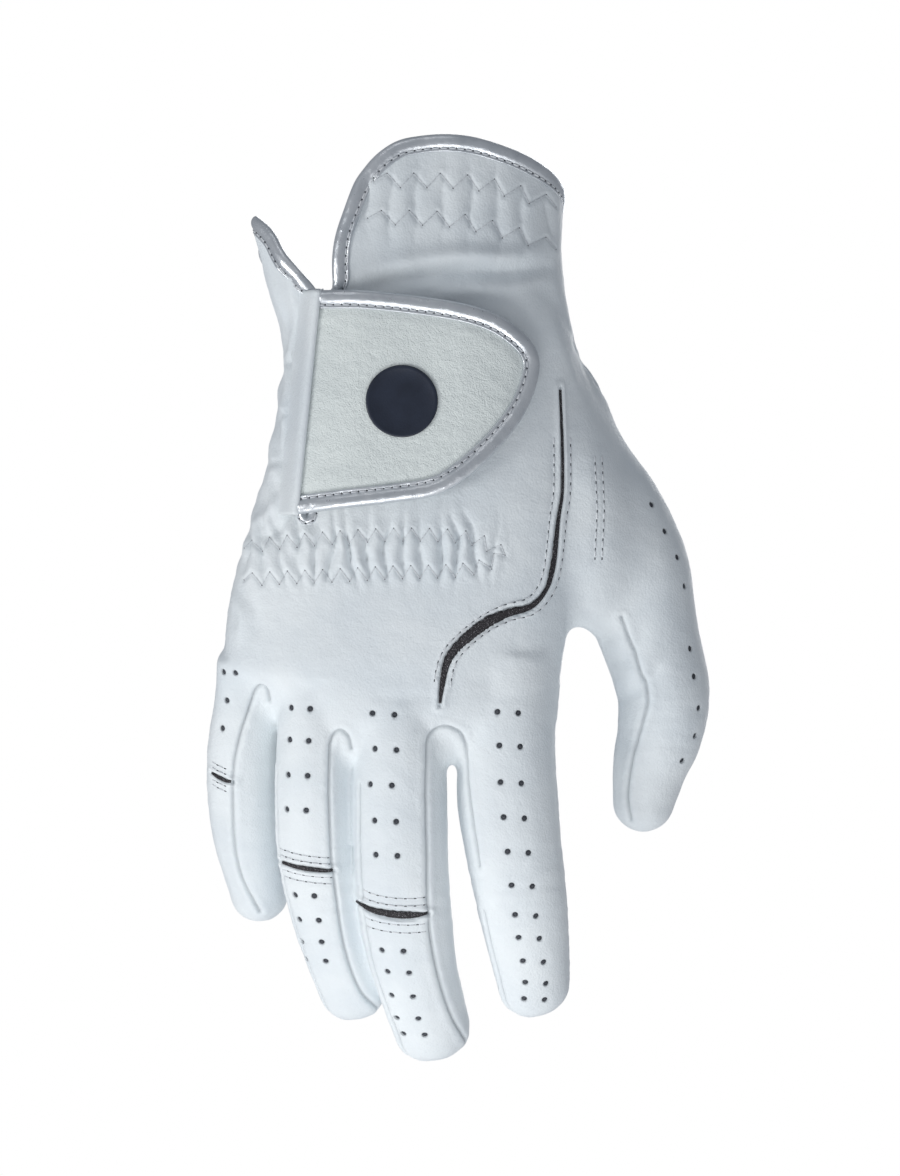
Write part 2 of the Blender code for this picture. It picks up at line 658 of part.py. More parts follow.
def tab_y(x, lift=0.0):
    """Y of the tab's outer face at an X, raised off it by lift."""
    low, high = TAB_FLAT
    return TAB_Y - lift + TAB_FALL[0] * max(0.0, low - x) ** 2 + TAB_FALL[1] * max(0.0, x - high) ** 2


def tab_point(x, z, lift=0.0):
    """A point of the tab's outer face. The slant moves its left end along the hinge line."""
    lower = (TAB[0][1] - z) / (TAB[0][1] - TAB[0][2])
    share = (TAB[-1][0] - x) / (TAB[-1][0] - TAB[0][0])
    return Vector((x - TAB_SLANT * lower * share**3, tab_y(x, lift), z))


def make_tab():
    rows = [[tab_point(x, top + (bottom - top) * share) for x, top, bottom in TAB_ROWS]
            for share in spread(0.0, 1.0, 5)]
    shell("tab_leather", rows, "tab_leather", TAB_THICK)


def make_tab_binding():
    """A bead round the tab's edge, from the hinge's top, round the free end, to the hinge's foot."""
    edge = [tab_point(x, top, -TAB_THICK / 2) for x, top, _ in TAB_ROWS]
    edge += [tab_point(x, bottom, -TAB_THICK / 2) for x, _, bottom in TAB_ROWS[::-1]]
    beads = []
    for k, p in enumerate(edge):
        along = edge[min(k + 1, len(edge) - 1)] - edge[max(k - 1, 0)]
        beads.append(p + Vector((-along.z, 0.0, along.x)).normalized() * BINDING_OUT)
    cord("tab_binding", beads, BINDING_R, "silver_binding")


def make_hook_patch():
    rows = [[Vector((x, tab_y(x, -TAB_THICK - 0.35), z)) for x in spread(*PATCH_X, 5)] for z in spread(*PATCH_Z, 4)]
    shell("hook_patch", rows, "hook_and_loop", PATCH)


def make_emblem():
    """A plain round badge, flat on its outer face."""
    x, z, radius, thickness = EMBLEM
    bm = bmesh.new()
    bmesh.ops.create_cone(bm, cap_ends=True, segments=32, radius1=radius * MM, radius2=radius * MM,
                          depth=thickness * MM)
    mesh = bpy.data.meshes.new("emblem")
    bm.to_mesh(mesh)
    bm.free()
    badge = add_object("emblem", mesh, "emblem_print")
    badge.rotation_euler = (math.pi / 2, 0.0, 0.0)
    badge.location = Vector((x, TAB_Y - 0.3 - thickness / 2, z)) * MM


clear_scene()
PARTS = make_collection("golf_glove")
CUTTERS = make_collection("cutters")
MATERIALS = {name: make_material(name) for name in COLOURS}
thumb_hole = make_thumb_cutter()
make_back_panel(thumb_hole)
make_palm_panel(thumb_hole)
make_stretch_insert()
make_cuff_binding()
make_elastic("cuff_elastic", -3.0, -14.0, (-14.0, 78.0), 10)
make_elastic("back_elastic", -86.0, -96.0, (-88.0, 26.0), 12)
make_loop_patch()
make_finger_backs()
make_finger_palms()
make_lower_insert()
for left_finger, right_finger, fork_row in zip(FINGERS, FINGERS[1:], FORKS):
    make_fourchette(left_finger, right_finger, fork_row)
for finger_name in FINGERS:
    make_fingertip(finger_name)
make_thumb()
make_tab()
make_tab_binding()
make_hook_patch()
make_emblem()
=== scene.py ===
"""Golf glove: the detailed visual model, built round the CAD frame.

Lengths are in millimetres until a mesh is made, and MM scales them there. The frame is the part's own:
+Z out of the wrist, -Y the back of the hand, +X the thumb side. The leather is one closed skin, made
from the tubes of hand, fingers and thumb, then refined along its seams, pressed into shape by
displacement, and cut into a piece for each zone of hand, thumb and fingers.
"""

import math
import random

import bmesh
import bpy
import numpy as np
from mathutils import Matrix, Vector, kdtree, noise
from mathutils.bvhtree import BVHTree


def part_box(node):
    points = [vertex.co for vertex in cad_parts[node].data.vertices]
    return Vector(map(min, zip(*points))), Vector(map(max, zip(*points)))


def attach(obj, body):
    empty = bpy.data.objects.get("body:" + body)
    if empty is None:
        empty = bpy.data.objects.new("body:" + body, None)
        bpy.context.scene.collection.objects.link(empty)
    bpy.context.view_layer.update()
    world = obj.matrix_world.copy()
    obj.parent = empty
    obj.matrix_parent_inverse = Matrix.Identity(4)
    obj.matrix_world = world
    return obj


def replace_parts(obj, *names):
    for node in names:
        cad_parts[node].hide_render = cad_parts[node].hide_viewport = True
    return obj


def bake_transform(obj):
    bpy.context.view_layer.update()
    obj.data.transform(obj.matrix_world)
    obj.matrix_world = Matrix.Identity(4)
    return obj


MM = 0.001
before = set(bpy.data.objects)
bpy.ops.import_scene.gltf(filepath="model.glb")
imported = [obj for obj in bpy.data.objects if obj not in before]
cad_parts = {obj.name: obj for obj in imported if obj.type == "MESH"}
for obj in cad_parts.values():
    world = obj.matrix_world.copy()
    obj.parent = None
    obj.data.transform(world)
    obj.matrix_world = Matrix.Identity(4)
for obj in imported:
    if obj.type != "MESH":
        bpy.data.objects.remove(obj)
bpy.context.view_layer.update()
random.seed(7)

# Skin
VOXEL = 0.7
LEATHER = 0.8
ROUNDNESS = 2.2          # superellipse power of a finger
HAND_ROUNDNESS = 2.6     # superellipse power of the hand
SIDE_SEAM = 97.0         # angle round the hand of its two side seams

# Hand: level, little-finger side, thumb side, back, palm
HAND = [
    (24.0, -41.0, 32.0, -19.0, 20.0), (0.0, -43.0, 33.0, -19.0, 20.0), (-15.0, -42.5, 33.0, -19.0, 20.0),
    (-28.0, -38.5, 34.5, -19.0, 19.5), (-40.0, -36.3, 37.0, -19.0, 19.5), (-52.5, -38.0, 38.5, -19.0, 19.5),
    (-65.0, -40.0, 39.3, -19.0, 19.0), (-78.0, -43.2, 39.3, -18.6, 18.5), (-90.0, -47.0, 38.2, -17.4, 17.5),
    (-103.0, -50.2, 35.8, -16.2, 16.0), (-116.0, -51.5, 33.4, -15.0, 15.0),
    (-121.0, -51.0, 32.8, -14.2, 14.6), (-125.0, -43.0, 32.4, -13.6, 14.2),
    (-129.0, -37.0, 32.0, -13.0, 13.8), (-133.0, -35.5, 31.4, -11.8, 13.0),
    (-137.5, -33.0, 28.0, -8.5, 11.5), (-142.0, -22.0, 20.0, -4.5, 9.0),
]

# Fingers, thumb and the web between thumb and hand. "line" runs to where the rounded tip begins: X, Y, Z,
# half width, half thickness. "roll" turns the back towards the thumb side, in degrees.
DIGITS = {
    "pinky": {
        "line": [(-44.4, 2.5, -116.0, 6.9, 11.0), (-45.3, 6.0, -127.0, 7.6, 9.8),
                 (-47.2, 10.0, -139.0, 8.0, 9.2), (-47.4, 15.0, -151.0, 8.3, 8.8),
                 (-46.4, 20.5, -162.0, 8.0, 8.3), (-44.0, 27.0, -173.0, 7.3, 7.6),
                 (-43.4, 29.0, -176.5, 7.0, 7.3)],
        "roll": -38.0, "bend_z": -147.0,
    },
    "ring": {
        "line": [(-28.0, 0.5, -116.0, 8.7, 13.2), (-28.7, 2.3, -137.0, 9.4, 11.5),
                 (-28.9, 5.7, -152.0, 9.7, 10.8), (-28.3, 10.9, -167.0, 9.7, 10.2),
                 (-26.2, 15.8, -179.0, 9.2, 9.6), (-23.4, 22.0, -190.0, 8.7, 8.9),
                 (-19.8, 29.5, -200.5, 8.3, 8.2)],
        "roll": -16.0, "bend_z": -168.5,
    },
    "middle": {
        "line": [(-7.6, 0.0, -116.0, 10.6, 13.8), (-7.5, -0.5, -137.0, 11.4, 12.4),
                 (-7.3, 1.0, -155.0, 11.8, 11.6), (-7.1, 4.0, -171.0, 11.8, 11.0),
                 (-6.0, 9.0, -184.0, 11.6, 10.4), (-3.8, 16.0, -196.0, 10.8, 9.7),
                 (0.2, 26.5, -210.0, 9.8, 9.0)],
        "roll": -7.0, "bend_z": -178.5,
    },
    "index": {
        "line": [(19.0, 0.0, -116.0, 13.0, 13.6), (19.1, 0.5, -137.0, 12.1, 12.2),
                 (19.2, 2.0, -152.0, 12.6, 11.4), (20.8, 4.5, -165.0, 12.1, 10.8),
                 (22.8, 8.5, -177.0, 11.4, 10.0), (24.4, 14.0, -188.0, 10.5, 9.2),
                 (26.0, 20.0, -199.0, 9.2, 8.5)],
        "roll": 2.0, "bend_z": -172.5,
    },
    "thumb": {
        "line": [(34.0, 4.0, -44.0, 7.0, 6.0), (42.0, 6.0, -68.0, 10.0, 9.4),
                 (47.9, 8.0, -82.0, 11.6, 11.9), (51.2, 10.0, -94.0, 12.4, 13.8),
                 (53.4, 11.5, -105.0, 12.5, 13.4), (56.2, 13.0, -115.0, 12.2, 12.2),
                 (58.9, 15.0, -126.0, 11.6, 11.7), (57.9, 17.0, -136.0, 10.8, 10.8),
                 (55.5, 19.0, -144.0, 9.8, 9.5), (53.9, 20.5, -153.0, 8.4, 7.8)],
        "roll": 78.0, "bend_z": -130.0,
    },
    "web": {
        "line": [(33.0, 2.0, -52.0, 8.0, 10.0), (36.0, 2.5, -66.0, 11.0, 14.0),
                 (38.5, 3.5, -80.0, 13.0, 14.8), (40.0, 4.5, -92.0, 12.5, 14.0),
                 (40.5, 5.5, -98.0, 10.0, 12.0)],
        "roll": 0.0, "bend_z": -80.0,
    },
}
FINGERS = ("pinky", "ring", "middle", "index")
WELDS = [((-41.0, 2.0, -124.0), 10.0), ((-21.0, 0.0, -135.0), 10.0), ((5.0, 0.0, -136.0), 11.0),
         ((40.0, 5.0, -104.0), 13.0), ((42.0, 4.0, -88.0), 22.0), ((38.0, 3.0, -66.0), 18.0),
         ((34.0, 3.0, -48.0), 14.0)]

# Where the skin is divided.
THUMB_CUT = (37.9, -104.0)       # X and Z
FINGER_CUT = {"pinky": -131.0, "ring": -146.0, "middle": -146.0, "index": -146.0}

# Edge of the cuff: angle round the hand, level. The slit lies between the last point and the first.
CUFF = [(-28.1, -25.0), (-24.3, -16.7), (-21.2, -10.0), (-17.8, -4.6), (-14.7, 1.0), (-10.1, 6.0),
        (-5.1, 9.6), (-0.4, 11.9), (6.3, 12.8), (17.5, 12.3), (29.7, 10.4), (45.4, 7.7), (64.6, 4.2),
        (85.0, 0.5), (110.0, -6.0), (140.0, -16.0), (180.0, -24.0), (220.0, -26.0), (246.0, -21.0),
        (262.0, -11.0), (272.0, -7.0), (292.0, -10.0), (302.7, -15.0), (311.7, -20.2), (318.9, -25.0)]
SLIT_TOP = (-25.9, -26.0)        # X and Z
SLIT_BOTTOM = (-31.0, -83.3)
SLIT_HALF = 1.1

# Lines on the back of the hand: X, Z
SEAMS = [
    [(-0.75, -138.0), (-1.0, -150.0), (-0.75, -165.5), (-0.5, -180.25), (1.25, -193.5), (4.75, -205.75),
     (9.0, -214.0)],
    [(9.0, -138.5), (9.75, -150.0), (12.25, -168.5)],
    [(-0.75, -138.0), (0.2, -135.6), (3.75, -134.0), (7.6, -135.6), (9.0, -138.5)],
    [(-25.0, -138.5), (-25.25, -150.75), (-24.75, -166.75), (-24.0, -173.0), (-21.75, -189.0),
     (-18.0, -200.5), (-13.2, -206.0)],
    [(-25.0, -138.5), (-24.2, -136.2), (-22.25, -135.0), (-20.4, -136.6), (-19.75, -139.25)],
    [(-44.75, -127.75), (-48.0, -138.0), (-49.5, -147.5), (-49.25, -163.5), (-47.25, -173.0),
     (-43.2, -181.0)],
    [(-44.75, -127.75), (-43.6, -124.8), (-42.0, -123.8), (-40.8, -125.0), (-40.25, -127.5)],
    [(48.25, -107.25), (52.0, -117.5), (54.3, -124.5), (54.7, -128.5), (53.4, -133.5), (51.25, -140.75),
     (49.75, -150.75), (50.5, -157.5)],
]
# Seams that follow a digit: digit, angle, first and last share of its length
DIGIT_SEAMS = [
    ("pinky", -89.0, 0.12, 0.97), ("pinky", 128.0, 0.25, 0.97), ("ring", -52.0, 0.28, 0.97),
    ("ring", -128.0, 0.28, 0.97), ("ring", 128.0, 0.28, 0.97), ("middle", -52.0, 0.28, 0.97),
    ("middle", -128.0, 0.28, 0.97), ("middle", 128.0, 0.28, 0.97), ("index", -128.0, 0.28, 0.97),
    ("index", -60.0, 0.62, 0.97), ("index", 89.0, 0.1, 0.97), ("thumb", 100.0, 0.3, 0.97),
]

# Side seams of the hand: angle, top and bottom level
SIDE_SEAMS = [(-SIDE_SEAM, -9.0, -118.0), (SIDE_SEAM, -3.0, -50.0)]

# Black insert and flex slots: X, Z, half width
INSERT = [(32.5, -50.0, 0.10), (33.0, -62.5, 0.16), (33.0, -75.0, 0.25), (32.0, -82.25, 0.42),
          (30.75, -93.75, 0.75), (29.0, -99.75, 0.5), (25.25, -104.0, 0.65), (19.25, -105.75, 1.0),
          (13.25, -108.75, 1.35), (7.25, -113.75, 1.15), (4.25, -118.0, 0.85), (3.0, -124.0, 0.5),
          (2.5, -128.25, 0.12)]
SLOTS = {
    "middle": [(-18.3, -178.2, 0.1), (-14.5, -180.2, 0.75), (-9.5, -181.2, 1.05), (-4.5, -181.4, 0.85),
               (-0.9, -181.0, 0.1)],
    "ring": [(-38.0, -168.0, 0.1), (-34.5, -169.2, 0.45), (-31.0, -169.9, 0.6), (-27.5, -170.3, 0.5),
             (-24.4, -170.4, 0.1)],
    "pinky": [(-54.7, -146.1, 0.1), (-53.2, -147.0, 0.4), (-51.6, -147.7, 0.45), (-50.0, -148.2, 0.1)],
}
# Rows of stitches beside each slot: how far above or below it
SLOT_ROWS = {"middle": (4.1, 2.2, -2.6, -4.6), "ring": (3.2, 1.6, -1.8, -3.4),
             "pinky": (2.9, 1.5, -1.5, -2.8)}

# Perforations: middle of each row of two (X, Z) and half of their spacing
HOLES = [
    (2.65, [(19.5, -130.6), (20.0, -139.0), (20.3, -148.2), (21.1, -157.0), (22.1, -165.7), (23.1, -174.2),
            (24.0, -181.7), (24.9, -187.5), (26.0, -193.5), (26.6, -199.0), (26.3, -203.2)]),
    (2.75, [(-11.6, -131.0), (-11.1, -139.8), (-12.3, -148.7), (-11.2, -157.8), (-10.9, -166.4),
            (-9.4, -190.6), (-8.0, -196.1), (-7.0, -202.2), (-5.7, -208.0), (-4.1, -212.2)]),
    (2.45, [(-32.4, -129.6), (-32.8, -137.6), (-33.1, -146.4), (-33.5, -155.1), (-31.6, -176.9),
            (-30.5, -183.1), (-29.8, -188.6), (-28.8, -193.5)]),
    (1.5, [(-50.3, -120.7)]),
    (0.0, [(-51.0, -127.7), (-52.2, -134.7), (55.7, -78.5), (59.0, -85.2), (62.2, -91.7), (64.0, -99.0),
           (65.5, -114.7), (66.5, -121.7), (67.7, -129.7), (66.7, -136.7), (63.5, -143.0)]),
]
HOLE_R = 0.72
HOLE_DEPTH = 1.0

# Zigzag rows: middle line (X, Z), pitch, half height
ZIGZAGS = [
    ([(-14.0, 2.0), (-6.0, 2.1), (6.5, 1.9), (16.25, 0.6), (26.25, -2.1), (31.5, -4.2)], 6.5, 1.8),
    ([(-15.5, -7.3), (-7.0, -7.2), (4.0, -7.6), (13.25, -9.2), (24.0, -12.0), (31.5, -14.8)], 7.0, 1.8),
    ([(-46.5, -89.5), (-38.0, -88.2), (-24.0, -87.0), (-8.0, -86.2), (6.0, -86.6), (13.0, -88.0),
      (18.7, -91.3)], 4.4, 1.6),
    ([(-46.5, -97.5), (-38.0, -97.0), (-24.0, -96.4), (-8.0, -95.6), (6.0, -95.2), (13.0, -94.0),
      (18.7, -91.3)], 4.4, 1.6),
]
# Leather gathered between the zigzags of the back
GATHER = {"z": -91.6, "x": (-47.0, 19.0), "pitch": 4.4, "depth": 1.9}
# Leather puffed between the zigzags of the cuff: height, pitch, level, and how it drops towards the thumb
CUFF_PUFF = 1.0
CUFF_PITCH = 6.6
CUFF_MIDDLE = -3.5
CUFF_DROP = 0.006

# Folds of the leather: line (X, Z), height (negative for a crease), width
FOLDS = [
    ([(-19.0, -21.5), (-8.0, -18.5), (6.0, -16.5), (20.0, -16.6), (31.0, -15.0)], 1.6, 2.4),
    ([(-17.0, -25.0), (-6.0, -22.8), (8.0, -20.5), (22.0, -20.4), (32.0, -19.0)], -1.5, 1.8),
    ([(0.0, -27.0), (9.0, -25.0), (18.0, -24.5), (28.0, -22.5)], 0.9, 2.0),
    ([(-46.0, -42.0), (-40.0, -44.0), (-35.0, -43.0)], -0.7, 1.1),
    ([(-45.0, -54.0), (-39.5, -57.0), (-35.5, -56.0)], -0.7, 1.1),
    ([(-46.0, -66.0), (-41.5, -68.5), (-37.5, -68.0)], -0.8, 1.2),
    ([(20.0, -24.0), (29.0, -33.0), (35.0, -45.0), (41.0, -60.0)], 0.5, 3.2),
    ([(23.0, -22.0), (32.0, -29.0), (38.0, -42.0), (45.0, -58.0)], -0.5, 2.4),
    ([(-33.0, -30.0), (-35.5, -42.0), (-36.0, -56.0), (-38.0, -70.0)], 0.8, 1.6),
    ([(-30.3, -34.0), (-32.0, -46.0), (-33.5, -58.0), (-35.0, -72.0)], -0.8, 1.2),
    ([(-36.0, -74.0), (-40.0, -80.0), (-45.0, -84.0)], 0.8, 1.8),
    ([(-34.0, -79.0), (-38.5, -85.0), (-44.0, -88.0)], -0.8, 1.4),
    ([(-50.0, -101.0), (-47.0, -106.0), (-48.0, -112.0)], 0.7, 1.8),
    ([(-46.0, -100.0), (-43.5, -106.0), (-45.0, -113.0)], -0.5, 1.6),
    ([(45.0, -127.5), (49.0, -127.0), (53.5, -124.0), (58.0, -119.0)], -0.75, 1.6),
    ([(46.0, -124.0), (50.0, -122.5), (54.0, -119.0), (57.0, -113.0)], 0.5, 2.2),
    ([(43.5, -117.0), (47.5, -118.0), (51.0, -116.0), (54.0, -110.0)], -0.45, 1.6),
    ([(42.0, -112.5), (46.0, -113.5), (49.5, -110.5), (52.0, -104.0)], 0.35, 2.0),
    ([(46.5, -132.0), (50.5, -132.5), (55.0, -130.5), (60.0, -126.0)], 0.4, 2.0),
    ([(47.0, -137.0), (51.0, -138.5), (56.0, -137.0)], -0.3, 1.6),
    ([(14.0, -125.5), (20.0, -127.0), (27.0, -125.0)], -0.25, 1.6),
    ([(-14.0, -126.0), (-8.0, -127.5), (-1.0, -126.0)], -0.3, 1.6),
    ([(-36.0, -122.0), (-31.0, -124.5), (-25.0, -123.5)], -0.3, 1.6),
]

# Closure tab: outer edge X, Z, from the top of the hinge round the free end to its foot
TAB = [(-27.7, -25.3), (-17.7, -25.3), (-5.0, -26.5), (8.0, -28.5), (16.7, -31.3), (23.0, -35.5),
       (26.5, -39.8), (27.5, -44.5), (26.0, -51.0), (22.7, -57.8), (16.7, -65.2), (9.2, -72.0),
       (1.5, -76.4), (-9.2, -78.2), (-22.0, -79.7), (-33.4, -81.2)]
TAB_CENTRE = (-4.0, -52.0)
TAB_Y = -23.4
TAB_FLAT = (-18.0, 8.0)
TAB_FALL = (0.060, 0.0105)
TAB_THICK = 1.3
TAB_BAND = 4.7
PATCH_X = (1.0, 16.0)
PATCH_Z = (-40.0, -60.0)
BADGE = (-7.0, -53.0, 9.0)
# Strip beside the tab: across from the tab's edge, share of the way up to the tab, height over both
HINGE_STRIP = [(-5.0, 0.0, -1.0), (-4.2, 0.0, -0.2), (-3.4, 0.15, 0.4), (-2.5, 0.5, 0.6), (-1.6, 0.85, 0.6),
               (-0.7, 1.0, 0.75), (0.0, 1.0, 0.8), (0.4, 1.0, 0.4)]


# Small tools

def through(rows, fine=16):
    """Closely spaced rows on a smooth (Catmull-Rom) curve through the given rows."""
    p = np.array(rows, float)
    p = np.vstack([2 * p[0] - p[1], p, 2 * p[-1] - p[-2]])
    made = []
    for a, b, c, d in zip(p, p[1:], p[2:], p[3:]):
        for t in np.linspace(0, 1, fine, endpoint=False):
            made.append(0.5 * (2 * b + (c - a) * t + (2 * a - 5 * b + 4 * c - d) * t**2
                               + (3 * b - a - 3 * c + d) * t**3))
    made.append(p[-2])
    return np.array(made)


def even(rows, step, dims=3):
    """The same line with rows a step apart, measured in its first columns."""
    rows = np.asarray(rows, float)
    along = np.concatenate([[0.0], np.cumsum(np.linalg.norm(np.diff(rows[:, :dims], axis=0), axis=1))])
    count = max(2, int(round(along[-1] / step)) + 1)
    at = np.linspace(0.0, along[-1], count)
    return np.stack([np.interp(at, along, rows[:, k]) for k in range(rows.shape[1])], axis=1)


def smoothstep(low, high, value):
    t = np.clip((value - low) / (high - low), 0.0, 1.0)
    return t * t * (3 - 2 * t)


def bell(value, width):
    return np.exp(-(value / width) ** 2)


def normalise(rows):
    return rows / np.maximum(np.linalg.norm(rows, axis=-1, keepdims=True), 1e-9)


def noise_at(points, scale, seed):
    """Smooth noise in -1 to 1 at points; scale is the size of its features along X, Y and Z."""
    shifted = points / np.array(scale) + seed * 17.3
    return np.array([noise.noise(p) for p in shifted.tolist()])


def rounded(angles, power):
    """Sines and cosines of angles in degrees, pushed out to a superellipse of that power."""
    turn = np.radians(angles)
    s, c = np.sin(turn), np.cos(turn)
    return np.sign(s) * np.abs(s) ** (2 / power), np.sign(c) * np.abs(c) ** (2 / power)


# The tubes of hand and digits

HAND_ROWS = through(HAND)
CUFF_ROWS = through(CUFF)


def hand_size(z):
    low, high, back, palm = [np.interp(-z, -HAND_ROWS[:, 0], HAND_ROWS[:, k]) for k in (1, 2, 3, 4)]
    return (low + high) / 2, (high - low) / 2, -back, palm


def hand_points(z, angles, grow=0.0):
    middle, half, back, palm = hand_size(np.asarray(z, float))
    s, c = rounded(np.asarray(angles, float), HAND_ROUNDNESS)
    depth = np.where(c > 0, back, palm)
    return np.stack([middle + s * (half + grow), -c * (depth + grow), z + 0 * s], axis=-1)


def hand_angles(points):
    """Angle round the hand of each point: 0 on the back, 90 on the thumb side."""
    middle, half, back, palm = hand_size(points[:, 2])
    u = (points[:, 0] - middle) / half
    v = -points[:, 1] / np.where(points[:, 1] < 0, back, palm)
    power = HAND_ROUNDNESS / 2
    return np.degrees(np.arctan2(np.sign(u) * np.abs(u) ** power, np.sign(v) * np.abs(v) ** power))


def back_angle(x, z):
    middle, half, _, _ = hand_size(z)
    share = np.clip((x - middle) / half, -1, 1)
    return float(np.degrees(np.arcsin(np.sign(share) * np.abs(share) ** (HAND_ROUNDNESS / 2))))


class Digit:
    """A finger or the thumb: an oval tube along a curved line, closed by a rounded tip."""

    def __init__(self, line, roll, bend_z):
        self.rows = through(line)
        steps = np.linalg.norm(np.diff(self.rows[:, :3], axis=0), axis=1)
        self.along = np.concatenate([[0.0], np.cumsum(steps)])
        self.length = self.along[-1]
        self.cap = self.rows[-1, 4] * 1.05
        self.end = self.length + self.cap * math.pi / 2
        self.roll = math.radians(roll)
        self.bend = float(np.interp(-bend_z, -self.rows[:, 2], self.along))

    def frame(self, distance):
        """Centre, unit vectors to the tip, the back and the thumb side, half width, half thickness."""
        d = min(max(distance, 0.0), self.length)
        row = [float(np.interp(d, self.along, self.rows[:, k])) for k in range(5)]
        ends = [[float(np.interp(e, self.along, self.rows[:, k])) for k in range(3)]
                for e in (d - 1.5, d + 1.5)]
        tangent = (Vector(ends[1]) - Vector(ends[0])).normalized()
        back = Vector((math.sin(self.roll), -math.cos(self.roll), 0.0))
        back = (back - back.dot(tangent) * tangent).normalized()
        turn = min(max(distance - self.length, 0.0) / self.cap, math.pi / 2)
        centre = Vector(row[:3]) + tangent * (self.cap * math.sin(turn))
        return centre, tangent, back, back.cross(tangent), row[3] * math.cos(turn), row[4] * math.cos(turn)

    def ring(self, distance, angles):
        centre, _, back, side, width, thick = self.frame(distance)
        s, c = rounded(np.asarray(angles, float), ROUNDNESS)
        return np.array(centre) + np.outer(s * width, side) + np.outer(c * thick, back)


TUBES = {name: Digit(**values) for name, values in DIGITS.items()}


def make_skin():
    """The union of all tubes, as even quads, smoothed where tubes meet."""
    angles = np.linspace(0, 360, 72, endpoint=False)
    tubes = [[hand_points(z, angles) for z in np.linspace(HAND[0][0], HAND[-1][0], 110)]]
    for digit in TUBES.values():
        stations = list(np.linspace(0, digit.length, 70))
        stations += list(np.linspace(digit.length, digit.end, 12)[1:-1])
        tubes.append([digit.ring(d, angles) for d in stations])
    bm = bmesh.new()
    for rings in tubes:
        rows = [[bm.verts.new(p * MM) for p in ring] for ring in rings]
        for upper, lower in zip(rows, rows[1:]):
            for k in range(len(upper)):
                bm.faces.new((upper[k - 1], lower[k - 1], lower[k], upper[k]))
        bm.faces.new(rows[0])
        bm.faces.new(rows[-1][::-1])
    bmesh.ops.recalc_face_normals(bm, faces=bm.faces)
    mesh = bpy.data.meshes.new("skin")
    bm.to_mesh(mesh)
    bm.free()
    obj = bpy.data.objects.new("skin", mesh)
    bpy.context.scene.collection.objects.link(obj)
    remesh = obj.modifiers.new("remesh", "REMESH")
    remesh.mode = "VOXEL"
    remesh.voxel_size = VOXEL * MM
    evaluated = obj.evaluated_get(bpy.context.evaluated_depsgraph_get())
    made = bmesh.new()
    made.from_mesh(evaluated.to_mesh())
    evaluated.to_mesh_clear()
    bpy.data.objects.remove(obj)
    bpy.data.meshes.remove(mesh)
    points = verts_of(made)
    near = np.zeros(len(points))
    for centre, radius in WELDS:
        away = np.linalg.norm(points - centre, axis=1)
        near = np.maximum(near, 1 - smoothstep(0.6 * radius, radius, away))
    edges = edges_of(made)
    points = relax(points, edges, np.full(len(points), 0.6), 10)
    points = relax(points, edges, 0.9 * near, 110)
    put_verts(made, points)
    return made


# Mesh arrays, in millimetres

def verts_of(bm):
    bm.verts.ensure_lookup_table()
    return np.array([v.co[:] for v in bm.verts]) / MM


def put_verts(bm, points):
    for v, p in zip(bm.verts, (points * MM).tolist()):
        v.co = p


def edges_of(bm):
    bm.verts.index_update()
    return np.array([(e.verts[0].index, e.verts[1].index) for e in bm.edges])


def relax(points, edges, weight, rounds):
    """Move each point towards the middle of its neighbours, that share of the way, rounds times."""
    a, b = edges.T
    count = np.bincount(a, minlength=len(points)) + np.bincount(b, minlength=len(points))
    count = np.maximum(count, 1)[:, None]
    weight = weight[:, None]
    for _ in range(rounds):
        sums = [np.bincount(a, points[b, k], len(points)) + np.bincount(b, points[a, k], len(points))
                for k in range(3)]
        total = np.stack(sums, axis=1)
        points = points + weight * (total / count - points)
    return points


def triangles_of(bm):
    bmesh.ops.triangulate(bm, faces=bm.faces)
    bm.verts.index_update()
    return np.array([[v.index for v in f.verts] for f in bm.faces])


def normals_of(points, triangles):
    a, b, c = (points[triangles[:, k]] for k in range(3))
    cross = np.cross(b - a, c - a)
    total = np.stack([sum(np.bincount(triangles[:, k], cross[:, axis], len(points)) for k in range(3))
                      for axis in range(3)], axis=1)
    return normalise(total)


ABOVE_BACK = -120.0      # Y from which lines are dropped onto the back of the hand
JUMP = 1.0               # a longer step between samples means that the line has left the digit


class Surface:
    """A skin that lines can be laid on."""

    def __init__(self, points, triangles):
        self.tree = BVHTree.FromPolygons(points.tolist(), triangles.tolist())

    def drape(self, line):
        """Points and normals where a line of X, Z meets the skin, seen from the back of the hand."""
        down = Vector((0, 1, 0))
        hits = [self.tree.ray_cast(Vector((x, ABOVE_BACK, z)), down)[:2] for x, z in line]
        kept = [(tuple(p), tuple(n)) for p, n in hits if p is not None]
        return np.array([p for p, _ in kept]), np.array([n for _, n in kept])

    def snap(self, line):
        hits = [self.tree.find_nearest(Vector(p))[:2] for p in line]
        return np.array([tuple(p) for p, _ in hits]), np.array([tuple(n) for _, n in hits])


def blur(rows, rounds, closed=False):
    for _ in range(rounds):
        if closed:
            rows = (np.roll(rows, 1, 0) + 2 * rows + np.roll(rows, -1, 0)) / 4
        else:
            rows = np.vstack([rows[:1], (rows[:-2] + 2 * rows[1:-1] + rows[2:]) / 4, rows[-1:]])
    return rows


def unbroken(points):
    """Indices of the longest run of a draped line that does not jump from one digit to another."""
    jumps = np.where(np.linalg.norm(np.diff(points, axis=0), axis=1) > JUMP)[0] + 1
    return max(np.split(np.arange(len(points)), jumps), key=len)


def tree_of(points):
    tree = kdtree.KDTree(len(points))
    for k, p in enumerate(points):
        tree.insert(p, k)
    tree.balance()
    return tree


FAR = 60.0


